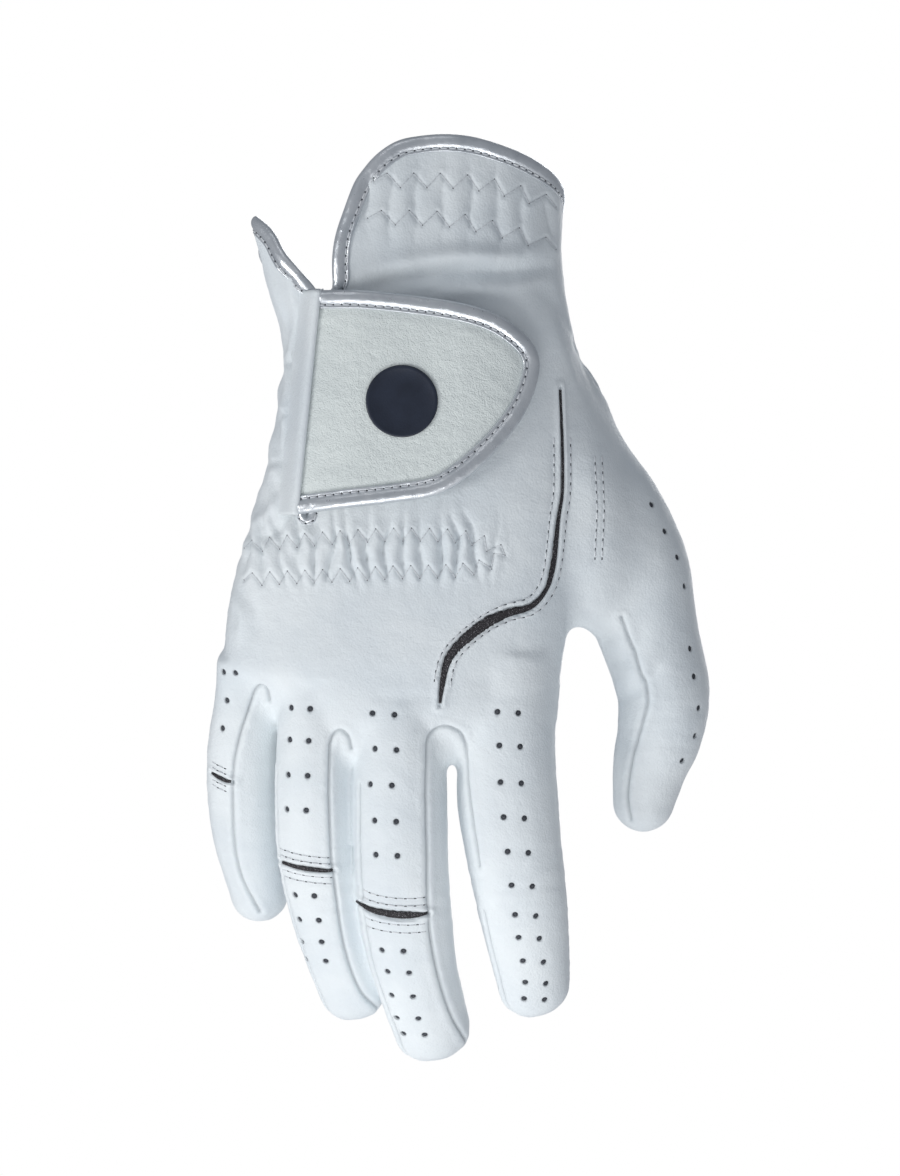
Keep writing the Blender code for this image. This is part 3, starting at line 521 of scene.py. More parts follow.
def measure(points, line, tangents=None, reach=7.0):
    """Distance of each point from a line of close samples, and the nearest sample. Past reach it is FAR."""
    tree = tree_of(line)
    inside = (points > line.min(axis=0) - reach) & (points < line.max(axis=0) + reach)
    close = np.flatnonzero(np.all(inside, axis=1))
    found = np.array([tree.find(p)[1] for p in points[close].tolist()], int)
    away = points[close] - line[found]
    if tangents is not None:
        lengthwise = np.clip(np.sum(away * tangents[found], axis=1), -0.6, 0.6)
        away = away - lengthwise[:, None] * tangents[found]
    distance = np.full(len(points), FAR)
    nearest = np.zeros(len(points), int)
    distance[close] = np.linalg.norm(away, axis=1)
    nearest[close] = found
    return distance, nearest


def tangents_of(line, closed=False):
    if closed:
        return normalise(np.roll(line, -1, 0) - np.roll(line, 1, 0))
    ends = np.vstack([line[:1], line, line[-1:]])
    return normalise(ends[2:] - ends[:-2])


def offset_line(line, distance):
    """A line of X, Z moved sideways."""
    line = np.asarray(line, float)[:, :2]
    t = tangents_of(line)
    return line + distance * np.stack([-t[:, 1], t[:, 0]], axis=1)


def zigzag(line, pitch, height):
    """Corners of a zigzag along a line of X, Z."""
    mid = even(through(line), pitch / 2, dims=2)
    t = tangents_of(mid)
    sway = np.where(np.arange(len(mid)) % 2, 1.0, -1.0) * height
    sway[-1] = sway[0] = 0.0
    return mid + sway[:, None] * np.stack([-t[:, 1], t[:, 0]], axis=1)


# Materials

def new_material(name, colour, roughness, metallic=0.0):
    material = bpy.data.materials.new(name)
    material.use_nodes = True
    shader = material.node_tree.nodes["Principled BSDF"]
    shader.inputs["Base Color"].default_value = (*colour, 1.0)
    shader.inputs["Roughness"].default_value = roughness
    shader.inputs["Metallic"].default_value = metallic
    return material, material.node_tree, shader


class Nodes:
    """Short calls for building a material's nodes, with lengths in millimetres."""

    def __init__(self, tree):
        self.tree = tree
        coordinates = self.add("ShaderNodeTexCoord")
        scaled = self.add("ShaderNodeVectorMath", operation="SCALE")
        scaled.inputs["Scale"].default_value = 1 / MM
        self.link(coordinates.outputs["Object"], scaled.inputs[0])
        self.place = scaled.outputs["Vector"]

    def add(self, kind, **settings):
        node = self.tree.nodes.new(kind)
        for key, value in settings.items():
            setattr(node, key, value)
        return node

    def link(self, source, target):
        self.tree.links.new(source, target)

    def warped(self, size, amount):
        """The place, pushed about by noise, so that a pattern looks grown and not laid."""
        node = self.add("ShaderNodeTexNoise")
        node.inputs["Scale"].default_value = 1 / size
        self.link(self.place, node.inputs["Vector"])
        push = self.add("ShaderNodeVectorMath", operation="SCALE")
        push.inputs["Scale"].default_value = amount
        self.link(node.outputs["Color"], push.inputs[0])
        total = self.add("ShaderNodeVectorMath", operation="ADD")
        self.link(self.place, total.inputs[0])
        self.link(push.outputs["Vector"], total.inputs[1])
        return total.outputs["Vector"]

    def stretched(self, scale):
        mapping = self.add("ShaderNodeMapping")
        mapping.inputs["Scale"].default_value = scale
        self.link(self.place, mapping.inputs["Vector"])
        return mapping.outputs["Vector"]

    def noise(self, size, detail=3.0, rough=0.55, place=None):
        node = self.add("ShaderNodeTexNoise")
        node.inputs["Scale"].default_value = 1 / size
        node.inputs["Detail"].default_value = detail
        node.inputs["Roughness"].default_value = rough
        self.link(place or self.place, node.inputs["Vector"])
        return node.outputs["Fac"]

    def cells(self, size, feature="F1", place=None):
        node = self.add("ShaderNodeTexVoronoi", feature=feature)
        node.inputs["Scale"].default_value = 1 / size
        self.link(place or self.place, node.inputs["Vector"])
        return node.outputs["Distance"]

    def ramp(self, value, stops):
        node = self.add("ShaderNodeValToRGB")
        elements = node.color_ramp.elements
        while len(elements) < len(stops):
            elements.new(0.5)
        for element, (position, colour) in zip(elements, stops):
            element.position = position
            element.color = (*colour, 1.0)
        self.link(value, node.inputs["Fac"])
        return node.outputs["Color"]

    def band(self, value, low, high):
        """Map 0 to 1 onto low to high."""
        node = self.add("ShaderNodeMapRange")
        node.inputs["To Min"].default_value = low
        node.inputs["To Max"].default_value = high
        self.link(value, node.inputs["Value"])
        return node.outputs["Result"]

    def math(self, operation, a, b):
        node = self.add("ShaderNodeMath", operation=operation)
        for socket, value in zip(node.inputs, (a, b)):
            if isinstance(value, (int, float)):
                socket.default_value = value
            else:
                self.link(value, socket)
        return node.outputs["Value"]

    def mix(self, factor, a, b):
        node = self.add("ShaderNodeMix", data_type="RGBA")
        for socket, value in ((node.inputs["Factor"], factor), (node.inputs[6], a), (node.inputs[7], b)):
            if isinstance(value, tuple):
                socket.default_value = (*value, 1.0)
            else:
                self.link(value, socket)
        return node.outputs[2]

    def bump(self, height, distance, strength=1.0, under=None):
        node = self.add("ShaderNodeBump")
        node.inputs["Distance"].default_value = distance * MM
        node.inputs["Strength"].default_value = strength
        self.link(height, node.inputs["Height"])
        if under is not None:
            self.link(under, node.inputs["Normal"])
        return node.outputs["Normal"]

    def attribute(self, name):
        return self.add("ShaderNodeAttribute", attribute_name=name).outputs["Fac"]


def leather_material(name, light, dark, grain, crackle, depth):
    """Smooth leather: pores, fine wrinkled grain, slow changes of tone, and painted shade in its seams,
    zigzags and holes.
    """
    material, tree, shader = new_material(name, light, 0.5)
    n = Nodes(tree)
    tone = n.ramp(n.noise(26.0, 4.0), [(0.3, dark), (0.62, light)])
    pores = n.cells(grain)
    wrinkle = n.cells(crackle, "DISTANCE_TO_EDGE", n.warped(2.6, 1.6))
    # painted shade: darker where the attribute marks seam grooves, zigzags and holes
    shaded_tone = n.mix(n.band(n.attribute("painted_shade"), 0.0, 1.0), tone, tuple(0.62 * c for c in dark))
    n.link(shaded_tone, shader.inputs["Base Color"])
    n.link(n.band(n.noise(5.0, 5.0), 0.42, 0.66), shader.inputs["Roughness"])
    shader.inputs["Specular IOR Level"].default_value = 0.35
    shader.inputs["Sheen Weight"].default_value = 0.15
    shader.inputs["Sheen Roughness"].default_value = 0.5
    fine = n.bump(pores, 0.10 * depth, 0.5)
    folded = n.bump(n.math("MINIMUM", wrinkle, 0.16), 0.16 * depth, 0.5, fine)
    n.link(n.bump(n.noise(2.2, 6.0, 0.65), 0.34 * depth, 0.6, folded), shader.inputs["Normal"])
    return material


def silver_material():
    material, tree, shader = new_material("silver_satin", (0.66, 0.69, 0.72), 0.30, 0.85)
    n = Nodes(tree)
    n.link(n.ramp(n.noise(6.0, 3.0), [(0.3, (0.60, 0.635, 0.67)), (0.7, (0.74, 0.765, 0.79))]),
           shader.inputs["Base Color"])
    n.link(n.band(n.noise(1.4, 4.0), 0.22, 0.38), shader.inputs["Roughness"])
    dents = n.bump(n.noise(2.2, 2.0), 0.34, 0.5)
    n.link(n.bump(n.noise(0.4, 4.0, 0.65), 0.13, 0.5, dents), shader.inputs["Normal"])
    return material


def knit_material():
    """Black stretch knit with painted glints: a few light grey specks in its colour."""
    material, tree, shader = new_material("black_knit", (0.02, 0.02, 0.022), 0.7)
    n = Nodes(tree)
    painted_glint = n.math("GREATER_THAN", n.noise(0.22, 2.0), 0.64)
    # painted glints: light specks mixed into the base colour
    n.link(n.mix(painted_glint, (0.018, 0.016, 0.019), (0.35, 0.34, 0.36)), shader.inputs["Base Color"])
    n.link(n.bump(n.cells(0.4), 0.2, 0.8), shader.inputs["Normal"])
    return material


def thread_material():
    material, tree, shader = new_material("thread", (0.72, 0.74, 0.76), 0.6)
    n = Nodes(tree)
    n.link(n.ramp(n.noise(3.0, 2.0), [(0.3, (0.60, 0.63, 0.66)), (0.7, (0.78, 0.80, 0.82))]),
           shader.inputs["Base Color"])
    n.link(n.bump(n.noise(0.2, 2.0), 0.08, 0.7), shader.inputs["Normal"])
    return material


def fabric_material(name, light, dark, size):
    material, tree, shader = new_material(name, light, 0.9)
    n = Nodes(tree)
    ribs = n.noise(size, 3.0, 0.6, n.stretched((2.5, 1.0, 1.0)))
    n.link(n.ramp(ribs, [(0.3, dark), (0.7, light)]), shader.inputs["Base Color"])
    shader.inputs["Sheen Weight"].default_value = 0.4
    n.link(n.bump(ribs, 0.3, 0.8), shader.inputs["Normal"])
    return material


def shadow_material():
    """Painted shade: the dark seen in a hole or a needle hole."""
    material, tree, shader = new_material("hole_shadow", (0.06, 0.065, 0.08), 0.9)
    n = Nodes(tree)
    n.link(n.ramp(n.noise(0.6, 2.0), [(0.3, (0.045, 0.05, 0.06)), (0.7, (0.09, 0.095, 0.11))]),
           shader.inputs["Base Color"])
    return material


def badge_material():
    material, tree, shader = new_material("badge_navy", (0.012, 0.018, 0.035), 0.35)
    n = Nodes(tree)
    n.link(n.ramp(n.noise(6.0, 3.0), [(0.3, (0.010, 0.015, 0.030)), (0.7, (0.018, 0.026, 0.048))]),
           shader.inputs["Base Color"])
    n.link(n.bump(n.cells(0.5), 0.05, 0.4), shader.inputs["Normal"])
    return material


# Placing pieces


def zones_of(points):
    """The zone that each point belongs to, by name."""
    nearest = np.full(len(points), np.inf)
    owner = np.full(len(points), "hand", dtype=object)
    for name in FINGERS:
        digit = TUBES[name]
        stations = np.linspace(0, digit.length, 60)
        frames = [digit.frame(d) for d in stations]
        centres = np.array([f[0] for f in frames])
        radii = np.array([(f[4] + f[5]) / 2 for f in frames])
        squared = np.sum(points**2, axis=1)[:, None] - 2 * points @ centres.T + np.sum(centres**2, axis=1)
        closest = (squared / radii**2).min(axis=1)
        mine = closest < nearest
        nearest[mine] = closest[mine]
        owner[mine] = np.where(points[mine, 2] < FINGER_CUT[name], name, "hand")
    owner[(points[:, 0] > THUMB_CUT[0]) & (points[:, 2] < THUMB_CUT[1])] = "thumb"
    return owner


def settle(obj, zone):
    """Attach a piece of the tab to the tab's body; bake the transform of any other piece into its mesh."""
    if zone == "tab":
        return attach(obj, "tab")
    if zone == "hand":
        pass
    else:
        digit = TUBES[zone]
        centre, tangent, *_ = digit.frame(digit.bend)
    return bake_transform(obj)


def make_object(name, points, faces, material):
    mesh = bpy.data.meshes.new(name)
    mesh.from_pydata((np.asarray(points) * MM).tolist(), [], [tuple(f) for f in faces])
    mesh.validate()
    mesh.shade_smooth()
    mesh.materials.append(material)
    obj = bpy.data.objects.new(name, mesh)
    bpy.context.scene.collection.objects.link(obj)
    return obj


# Per point share of painted shade, which darkens the leather's colour
def add_painted_shade(obj, values):
    layer = obj.data.attributes.new("painted_shade", "FLOAT", "POINT")
    layer.data.foreach_set("value", np.asarray(values, np.float32))


class Batch:
    """Many small parts, joined into one piece for each zone."""

    def __init__(self):
        self.points, self.faces, self.centres = [], [], []

    def put(self, points, faces):
        self.points.append(np.asarray(points))
        self.faces.append(faces)
        self.centres.append(np.mean(points, axis=0))

    def build(self, name, material, zone=None):
        if zone is None:
            zones = zones_of(np.array(self.centres))
        else:
            zones = np.full(len(self.centres), zone, dtype=object)
        made = []
        for one in sorted(set(zones)):
            points, faces, start = [], [], 0
            for k in np.flatnonzero(zones == one):
                points.append(self.points[k])
                faces += [tuple(i + start for i in f) for f in self.faces[k]]
                start += len(self.points[k])
            obj = make_object(f"{name}_{one}", np.vstack(points), faces, material)
            settle(obj, one)
            made.append(obj)
        return made


def capsule(a, b, radius, sides=6):
    """A rounded stitch from a to b."""
    along = normalise(b - a)
    across = normalise(np.cross(along, (0.31, 0.77, 0.55)))
    up = np.cross(along, across)
    length = np.linalg.norm(b - a)
    profile = [(0.0, 0.45), (0.35 * radius, 0.85), (radius, 1.0), (length - radius, 1.0),
               (length - 0.35 * radius, 0.85), (length, 0.45)]
    turn = np.linspace(0, 2 * math.pi, sides, endpoint=False)
    circle = np.outer(np.cos(turn), across) + np.outer(np.sin(turn), up)
    points = np.vstack([a + along * d + circle * radius * r for d, r in profile])
    return points, grid_faces(len(profile), sides) + end_faces(len(profile), sides)


SEW_STEP = 0.1           # spacing of the samples between which stitches start and end


def sew(batch, line, normals, pitch, length, radius, lift, start=0.0):
    """Stitches along a dense line on a surface, the first one that far along it."""
    rows = even(np.hstack([line, normals]), SEW_STEP)
    step, reach, first = (int(round(size / SEW_STEP)) for size in (pitch, length, start))
    for k in range(first, len(rows) - reach, step):
        a, b = rows[k], rows[k + reach]
        up_a, up_b = normalise(a[3:]), normalise(b[3:])
        batch.put(*capsule(a[:3] + up_a * lift, b[:3] + up_b * lift, radius))


def sweep(points, ups, outs, section, closed, widths=None, heights=None):
    """Carry a closed section, as (out, up) pairs, along a line.

    widths scales its part over the leather, and heights scales how far it stands up.
    """
    count, size = len(points), len(section)
    widths = np.ones(count) if widths is None else widths
    heights = np.ones(count) if heights is None else heights
    rings = []
    for p, u, o, w, h in zip(points, ups, outs, widths, heights):
        out = np.where(section[:, 0] < 0, w, 1.0) * section[:, 0]
        rings.append(p + np.outer(out, o) + np.outer(section[:, 1] * h, u))
    faces = grid_faces(count, size)
    if closed:
        last = (count - 1) * size
        faces += [(last + k, last + (k + 1) % size, (k + 1) % size, k) for k in range(size)]
    else:
        faces += end_faces(count, size)
    return np.vstack(rings), faces


def grid_faces(rows, columns, rings=True):
    """Quads between rows of points; each row is a ring, or else an open line."""
    around = columns if rings else columns - 1
    return [(i * columns + k, i * columns + (k + 1) % columns,
             (i + 1) * columns + (k + 1) % columns, (i + 1) * columns + k)
            for i in range(rows - 1) for k in range(around)]


def end_faces(rows, columns):
    """The first and the last ring of a grid of rings, as its two closing faces."""
    return [tuple(range(columns))[::-1], tuple(range((rows - 1) * columns, rows * columns))]


def turn_outward(obj):
    bm = bmesh.new()
    bm.from_mesh(obj.data)
    bmesh.ops.recalc_face_normals(bm, faces=bm.faces)
    bm.to_mesh(obj.data)
    bm.free()


# Lines on the skin, as X, Z

SEAM_LINES = [even(through(rows), 0.3, dims=2) for rows in SEAMS]
INSERT_LINE = even(through(INSERT), 0.2, dims=2)
SLOT_LINES = {name: even(through(rows), 0.2, dims=2) for name, rows in SLOTS.items()}
INSERT_STITCHES = [offset_line(INSERT_LINE[60:-20], side * 2.1) for side in (-1, 1)]
SLOT_STITCHES = {name: [SLOT_LINES[name][:, :2] + (0.0, rise) for rise in rises]
                 for name, rises in SLOT_ROWS.items()}
BACK_STITCHES = [even([(x, -66.5), (x + 0.6, -80.0), (x, -92.7)], 0.3, dims=2) for x in (41.2, 43.0)]
ZIGZAG_LINES = [even(zigzag(*row), 0.25, dims=2) for row in ZIGZAGS]
HOLE_SPOTS = [(x + side * half, z - side * 0.15) for half, rows in HOLES for x, z in rows
              for side in ((-1, 1) if half else (0,))]


def digit_line(name, angle, first, last):
    digit = TUBES[name]
    stations = np.linspace(digit.end * first, digit.end * last, 260)
    return np.vstack([digit.ring(d, [angle]) for d in stations])


def hand_line(angle, top, bottom):
    z = np.arange(top, bottom, -0.3)
    return hand_points(z, np.full(len(z), angle))


def all_seams(surface):
    """Sample points and directions of every seam on the skin."""
    lines = [surface.drape(line)[0] for line in SEAM_LINES]
    lines += [surface.snap(digit_line(*row))[0] for row in DIGIT_SEAMS]
    lines += [surface.snap(hand_line(*row))[0] for row in SIDE_SEAMS]
    lines = [blur(line, 3) for line in lines]
    return np.vstack(lines), np.vstack([tangents_of(line) for line in lines])


def valleys(surface):
    """Samples, directions and half widths of the black insert and the flex slots."""
    lines = [INSERT_LINE, *SLOT_LINES.values()]
    samples = [surface.drape(line[:, :2])[0] for line in lines]
    directions = [tangents_of(points) for points in samples]
    return np.vstack(samples), np.vstack(directions), np.concatenate([line[:, 2] for line in lines])


def refine(bm, surface, seams, valley, holes):
    """Divide the skin's faces near its seams, and again near the holes, the insert and the slots."""
    fine = np.vstack([valley, holes])
    rows = np.vstack([surface.drape(line)[0] for line in ZIGZAG_LINES])
    for lines, reach in ((np.vstack([seams, fine, rows]), 1.5), (fine, 1.4)):
        points = verts_of(bm)
        old = len(points)
        near = measure(points, lines)[0] < reach
        edges = [e for e in bm.edges if near[e.verts[0].index] and near[e.verts[1].index]]
        bmesh.ops.subdivide_edges(bm, edges=edges, cuts=1, use_grid_fill=True)
        bm.verts.index_update()
        points = verts_of(bm)
        fresh = np.where(np.arange(len(points)) >= old, 0.5, 0.25 * (measure(points, lines)[0] < reach))
        put_verts(bm, relax(points, edges_of(bm), fresh, 2))


def unevenness(points):
    """Slight waves everywhere, long folds at the wrist and short ones where fingers bend."""
    x, _, z = points.T
    out = 0.22 * noise_at(points, (16.0, 16.0, 22.0), 1)
    wrist = smoothstep(-95.0, -50.0, z)
    out += 0.42 * wrist * noise_at(points, (7.0, 9.0, 30.0), 2)
    left = smoothstep(-26.0, -34.0, x) * smoothstep(-100.0, -84.0, z)
    slanted = points + np.outer(z, (0.35, 0.0, 0.0))
    out += 1.3 * left * noise_at(slanted, (3.4, 8.0, 11.0), 3)
    out += 0.10 * noise_at(points, (4.0, 4.0, 4.0), 4)
    for name in (*FINGERS, "thumb"):
        digit = TUBES[name]
        centre, tangent, *_ = digit.frame(digit.bend)
        along = (points - np.array(centre)) @ np.array(tangent)
        near = bell(along, 11.0) * (np.linalg.norm(points - np.array(centre), axis=1) < 24.0)
        out += 0.13 * near * noise_at(points, (9.0, 9.0, 2.4), 5)
    return out


def folds(points, surface):
    """Rolls and creases along the lines of FOLDS, fading out towards the ends of each."""
    out = np.zeros(len(points))
    for line, height, width in FOLDS:
        samples, _ = surface.drape(even(through(line), 0.4, dims=2))
        distance, nearest = measure(points, samples, reach=3 * width)
        out += height * bell(distance, width) * np.sin(math.pi * nearest / len(samples)) ** 0.6
    return out


def puffs(phase, pitch):
    """Round pads with a sharp crease between them."""
    return np.abs(np.cos(math.pi * phase / pitch)) ** 0.7 - 0.65


def gathers(points):
    """Leather puffed up between the rows of zigzags, on the back and on the cuff."""
    x, _, z = points.T
    rise = z - GATHER["z"]
    first, last = GATHER["x"]
    band = np.where(rise > 0, bell(rise, 9.0), bell(rise, 5.2))
    band *= smoothstep(first - 2, first + 3, x) * smoothstep(last + 1, last - 6, x)
    lean = 0.5 * rise * noise_at(points, (6.0, 9.0, 30.0), 6)
    phase = x + lean + 1.3 * noise_at(points, (7.0, 7.0, 7.0), 13)
    uneven = 1 + 0.6 * noise_at(points, (5.0, 9.0, 9.0), 14)
    out = GATHER["depth"] * band * uneven * puffs(phase, GATHER["pitch"])

    band = bell(z - CUFF_MIDDLE + CUFF_DROP * np.maximum(x, 0) ** 2, 8.0)
    phase = x + 1.6 * noise_at(points, (8.0, 8.0, 8.0), 10)
    uneven = 1 + 0.6 * noise_at(points, (6.0, 9.0, 9.0), 15)
    return out + CUFF_PUFF * band * uneven * puffs(phase, CUFF_PITCH)


def pressed(points, normals, surface, seams, seam_directions, valley, valley_directions, widths, holes):
    """How far each point of the skin is moved out, and how much painted shade darkens it there."""
    front = smoothstep(-0.1, 0.5, -normals[:, 1])
    out = unevenness(points) + folds(points, surface) + gathers(points) * front

    # seams: a sharp line between two soft rolls
    distance = measure(points, seams, seam_directions)[0]
    out += -0.55 * bell(distance, 0.42) + 0.26 * bell(distance - 1.5, 1.0)
    out += 0.12 * bell(distance - 1.2, 0.9) * noise_at(points, (1.8, 1.8, 1.8), 7)
    # painted shade along the groove of each seam
    painted_shade = 0.8 * bell(distance, 0.35)

    # insert and slots: a flat floor between two lips
    distance, nearest = measure(points, valley, valley_directions)
    half = widths[nearest]
    sunk = np.minimum(0.9, 0.35 + half * 0.6)
    out += -sunk * (1 - smoothstep(half + 0.12, half + 0.5, distance)) * front
    out += 0.42 * bell(distance - half - 1.0, 0.6) * front

    # rows of stitches
    rows = INSERT_STITCHES + BACK_STITCHES + [line for lines in SLOT_STITCHES.values() for line in lines]
    distance = measure(points, np.vstack([surface.drape(line)[0] for line in rows]))[0]
    out += -0.14 * bell(distance, 0.6)

    # zigzags
    distance = measure(points, np.vstack([surface.drape(line)[0] for line in ZIGZAG_LINES]))[0]
    out += (-0.18 * bell(distance, 0.5) + 0.12 * bell(distance - 1.3, 0.8)) * front
    # painted shade along the groove of each zigzag
    painted_shade = np.maximum(painted_shade, 0.15 * bell(distance, 0.4))

    # holes
    tree = tree_of(holes)
    reach = np.array([tree.find(p)[2] for p in points.tolist()])
    out += -HOLE_DEPTH * (1 - smoothstep(HOLE_R - 0.25, HOLE_R + 0.1, reach)) - 0.10 * bell(reach, 1.6)
    # painted shade in and round each hole
    painted_shade = np.maximum(painted_shade, 0.8 * (1 - smoothstep(HOLE_R - 0.1, HOLE_R + 0.45, reach)))
    return out, painted_shade


def removed(points):
    """Which points lie above the edge of the cuff or in the slit."""
    angles = hand_angles(points)
    wrapped = np.where(angles < CUFF[0][0], angles + 360.0, angles)
    z = points[:, 2]
    level = np.interp(wrapped, CUFF_ROWS[:, 0], CUFF_ROWS[:, 1], right=-25.0)
    above = z > level
    share = (SLIT_TOP[1] - z) / (SLIT_TOP[1] - SLIT_BOTTOM[1])
    slit = SLIT_TOP[0] + (SLIT_BOTTOM[0] - SLIT_TOP[0]) * share
    in_slit = (np.abs(points[:, 0] - slit) < SLIT_HALF) & (z > SLIT_BOTTOM[1]) & (points[:, 1] < 0)
    return above | in_slit


def skin_piece(name, points, normals, painted_shade, triangles, material):
    """A part of the skin as leather of full thickness, with the normals of the whole skin."""
    used, local = np.unique(triangles, return_inverse=True)
    outer = local.reshape(-1, 3)
    size = len(used)
    edges = np.vstack([outer[:, [0, 1]], outer[:, [1, 2]], outer[:, [2, 0]]])
    keys = np.sort(edges, axis=1)
    keys = keys[:, 0] * size + keys[:, 1]
    _, index, counts = np.unique(keys, return_index=True, return_counts=True)
    rim = edges[index[counts == 1]]
    inner = outer[:, ::-1] + size
    walls = np.stack([rim[:, 1], rim[:, 0], rim[:, 0] + size, rim[:, 1] + size], axis=1)
    verts = np.vstack([points[used], points[used] - normals[used] * LEATHER])
    faces = outer.tolist() + inner.tolist() + walls.tolist()
    mesh = bpy.data.meshes.new(name)
    mesh.from_pydata((verts * MM).tolist(), [], faces)
    mesh.shade_smooth()
    mesh.materials.append(material)
    corner = verts[walls[:, 0]]
    wall_normals = normalise(np.cross(verts[walls[:, 1]] - corner, verts[walls[:, 3]] - corner))
    loops = np.vstack([normals[used][outer.ravel()], -normals[used][inner.ravel() - size],
                       np.repeat(wall_normals, 4, axis=0)])
    mesh.normals_split_custom_set(loops.tolist())
    obj = bpy.data.objects.new(name, mesh)
    bpy.context.scene.collection.objects.link(obj)
    # painted shade of seams and holes, on both faces
    add_painted_shade(obj, np.concatenate([painted_shade[used], painted_shade[used]]))
    return obj


# Build the skin

LEATHER_MAT = leather_material("glove_leather", (0.82, 0.865, 0.885), (0.73, 0.785, 0.82), 0.55, 3.4, 1.0)
TAB_MAT = leather_material("tab_grain", (0.85, 0.905, 0.885), (0.76, 0.815, 0.805), 0.35, 1.5, 2.3)
SILVER = silver_material()
KNIT = knit_material()
THREAD = thread_material()
ELASTIC = fabric_material("elastic_weave", (0.70, 0.71, 0.73), (0.52, 0.53, 0.56), 0.8)
FASTENER = fabric_material("hook_and_loop_pile", (0.68, 0.69, 0.71), (0.45, 0.46, 0.49), 0.5)
NAVY = badge_material()
HOLE_SHADE = shadow_material()

skin = make_skin()
base = Surface(verts_of(skin), np.array([[v.index for v in f.verts] for f in skin.faces]))
seam_points, seam_directions = all_seams(base)
valley_points, valley_directions, valley_widths = valleys(base)
hole_points, _ = base.drape(HOLE_SPOTS)
refine(skin, base, seam_points, valley_points, hole_points)
skin_triangles = triangles_of(skin)
skin_points = verts_of(skin)
skin.free()
skin_normals = normals_of(skin_points, skin_triangles)
lift, skin_painted_shade = pressed(skin_points, skin_normals, base, seam_points, seam_directions, valley_points,
                            valley_directions, valley_widths, hole_points)
skin_points = skin_points + skin_normals * lift[:, None]
skin_normals = normals_of(skin_points, skin_triangles)
outside = Surface(skin_points, skin_triangles)
print("skin", len(skin_points), "points", len(skin_triangles), "triangles")

centres = skin_points[skin_triangles].mean(axis=1)
kept = ~removed(centres)
zones = zones_of(centres)
on_back = np.abs(hand_angles(centres)) < SIDE_SEAM
REPLACED = {
    "back": ["back_panel", "finger_backs", "pinky_ring_fourchette", "ring_middle_fourchette",
             "middle_index_fourchette"],
    "palm": ["palm_panel", "finger_palms"],
    "thumb": ["thumb_back", "thumb_palm", "thumb_tip_back", "thumb_tip_palm"],
    "index": ["index_tip_back", "index_tip_palm", "index_tip_little_side"],
    "pinky": ["pinky_tip_back", "pinky_tip_palm", "pinky_tip_thumb_side"],
}
for finger in ("middle", "ring"):
    REPLACED[finger] = [f"{finger}_tip_{part}" for part in ("back", "palm", "thumb_side", "little_side")]
for label, nodes in REPLACED.items():
    if label in ("back", "palm"):
        chosen = kept & (zones == "hand") & (on_back == (label == "back"))
    else:
        chosen = kept & (zones == label)
    piece = skin_piece(f"leather_{label}", skin_points, skin_normals, skin_painted_shade, skin_triangles[chosen],
                       LEATHER_MAT)
    settle(piece, label if label in TUBES else "hand")
    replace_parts(piece, *nodes)


# Black insert and slots

def ribbon(name, line, zone):
    """Knit in the floor of a valley, a little wider than the gap between the leather's lips."""
    points, ups = outside.drape(line[:, :2])
    whole = unbroken(points)
    ups = blur(ups[whole], 6)
    points = blur(points[whole], 2)
    across = normalise(np.cross(tangents_of(points), ups))
    half = line[whole, 2]
    rows = []
    for share in np.linspace(-1, 1, 5):
        sag = 0.10 * (1 - share**2)
        ragged = 1 + 0.22 * noise_at(points, (0.9, 0.9, 0.9), 20 + round(share))
        rows.append(points + across * (half * ragged * share)[:, None] + ups * (0.10 + sag))
    obj = make_object(name, np.vstack(rows), grid_faces(len(rows), len(points), rings=False), KNIT)
    solid = obj.modifiers.new("thickness", "SOLIDIFY")
    solid.thickness = 0.5 * MM
    solid.offset = 0.0
    settle(obj, zone)
    return obj


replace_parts(ribbon("insert_strip", INSERT_LINE, "hand"), "stretch_insert", "stretch_insert_lower")
for finger, line in SLOT_LINES.items():
    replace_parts(ribbon(f"flex_{finger}", line, finger), f"{finger}_flex_insert")


# Holes and stitches

PLUG_SIDES = 14
# Dark plugs sunk in the holes: painted shade for the glove's inside
plugs = Batch()
plug_turn = np.linspace(0, 2 * math.pi, PLUG_SIDES, endpoint=False)
for spot, up in zip(*base.drape(HOLE_SPOTS)):
    across = normalise(np.cross(up, (0.0, 0.3, 1.0)))
    other = np.cross(up, across)
    circle = np.outer(np.cos(plug_turn), across) + np.outer(np.sin(plug_turn), other)
    rings = [spot - up * depth + circle * radius
             for depth, radius in ((0.42, HOLE_R - 0.06), (1.6, HOLE_R - 0.1))]
    faces = [face[::-1] for face in grid_faces(2, PLUG_SIDES) + end_faces(2, PLUG_SIDES)]
    plugs.put(np.vstack(rings), faces)
plugs.build("hole_painted_shade", HOLE_SHADE)

SEAM_PITCH = 2.4
seam_thread, seam_hole_shade = Batch(), Batch()
slot_rows = [even(line, 0.2, dims=2) for lines in SLOT_STITCHES.values() for line in lines]
for line in INSERT_STITCHES + BACK_STITCHES + slot_rows:
    points, ups = outside.drape(line)
    whole = unbroken(points)
    sew(seam_thread, points[whole], ups[whole], SEAM_PITCH, 1.4, 0.2, 0.04)
    # dark capsules between the stitches: painted shade for the needle holes
    sew(seam_hole_shade, points[whole], ups[whole], SEAM_PITCH, 0.7, 0.15, 0.0, 1.55)
seam_thread.build("stitches", THREAD)
seam_hole_shade.build("stitch_holes", HOLE_SHADE)

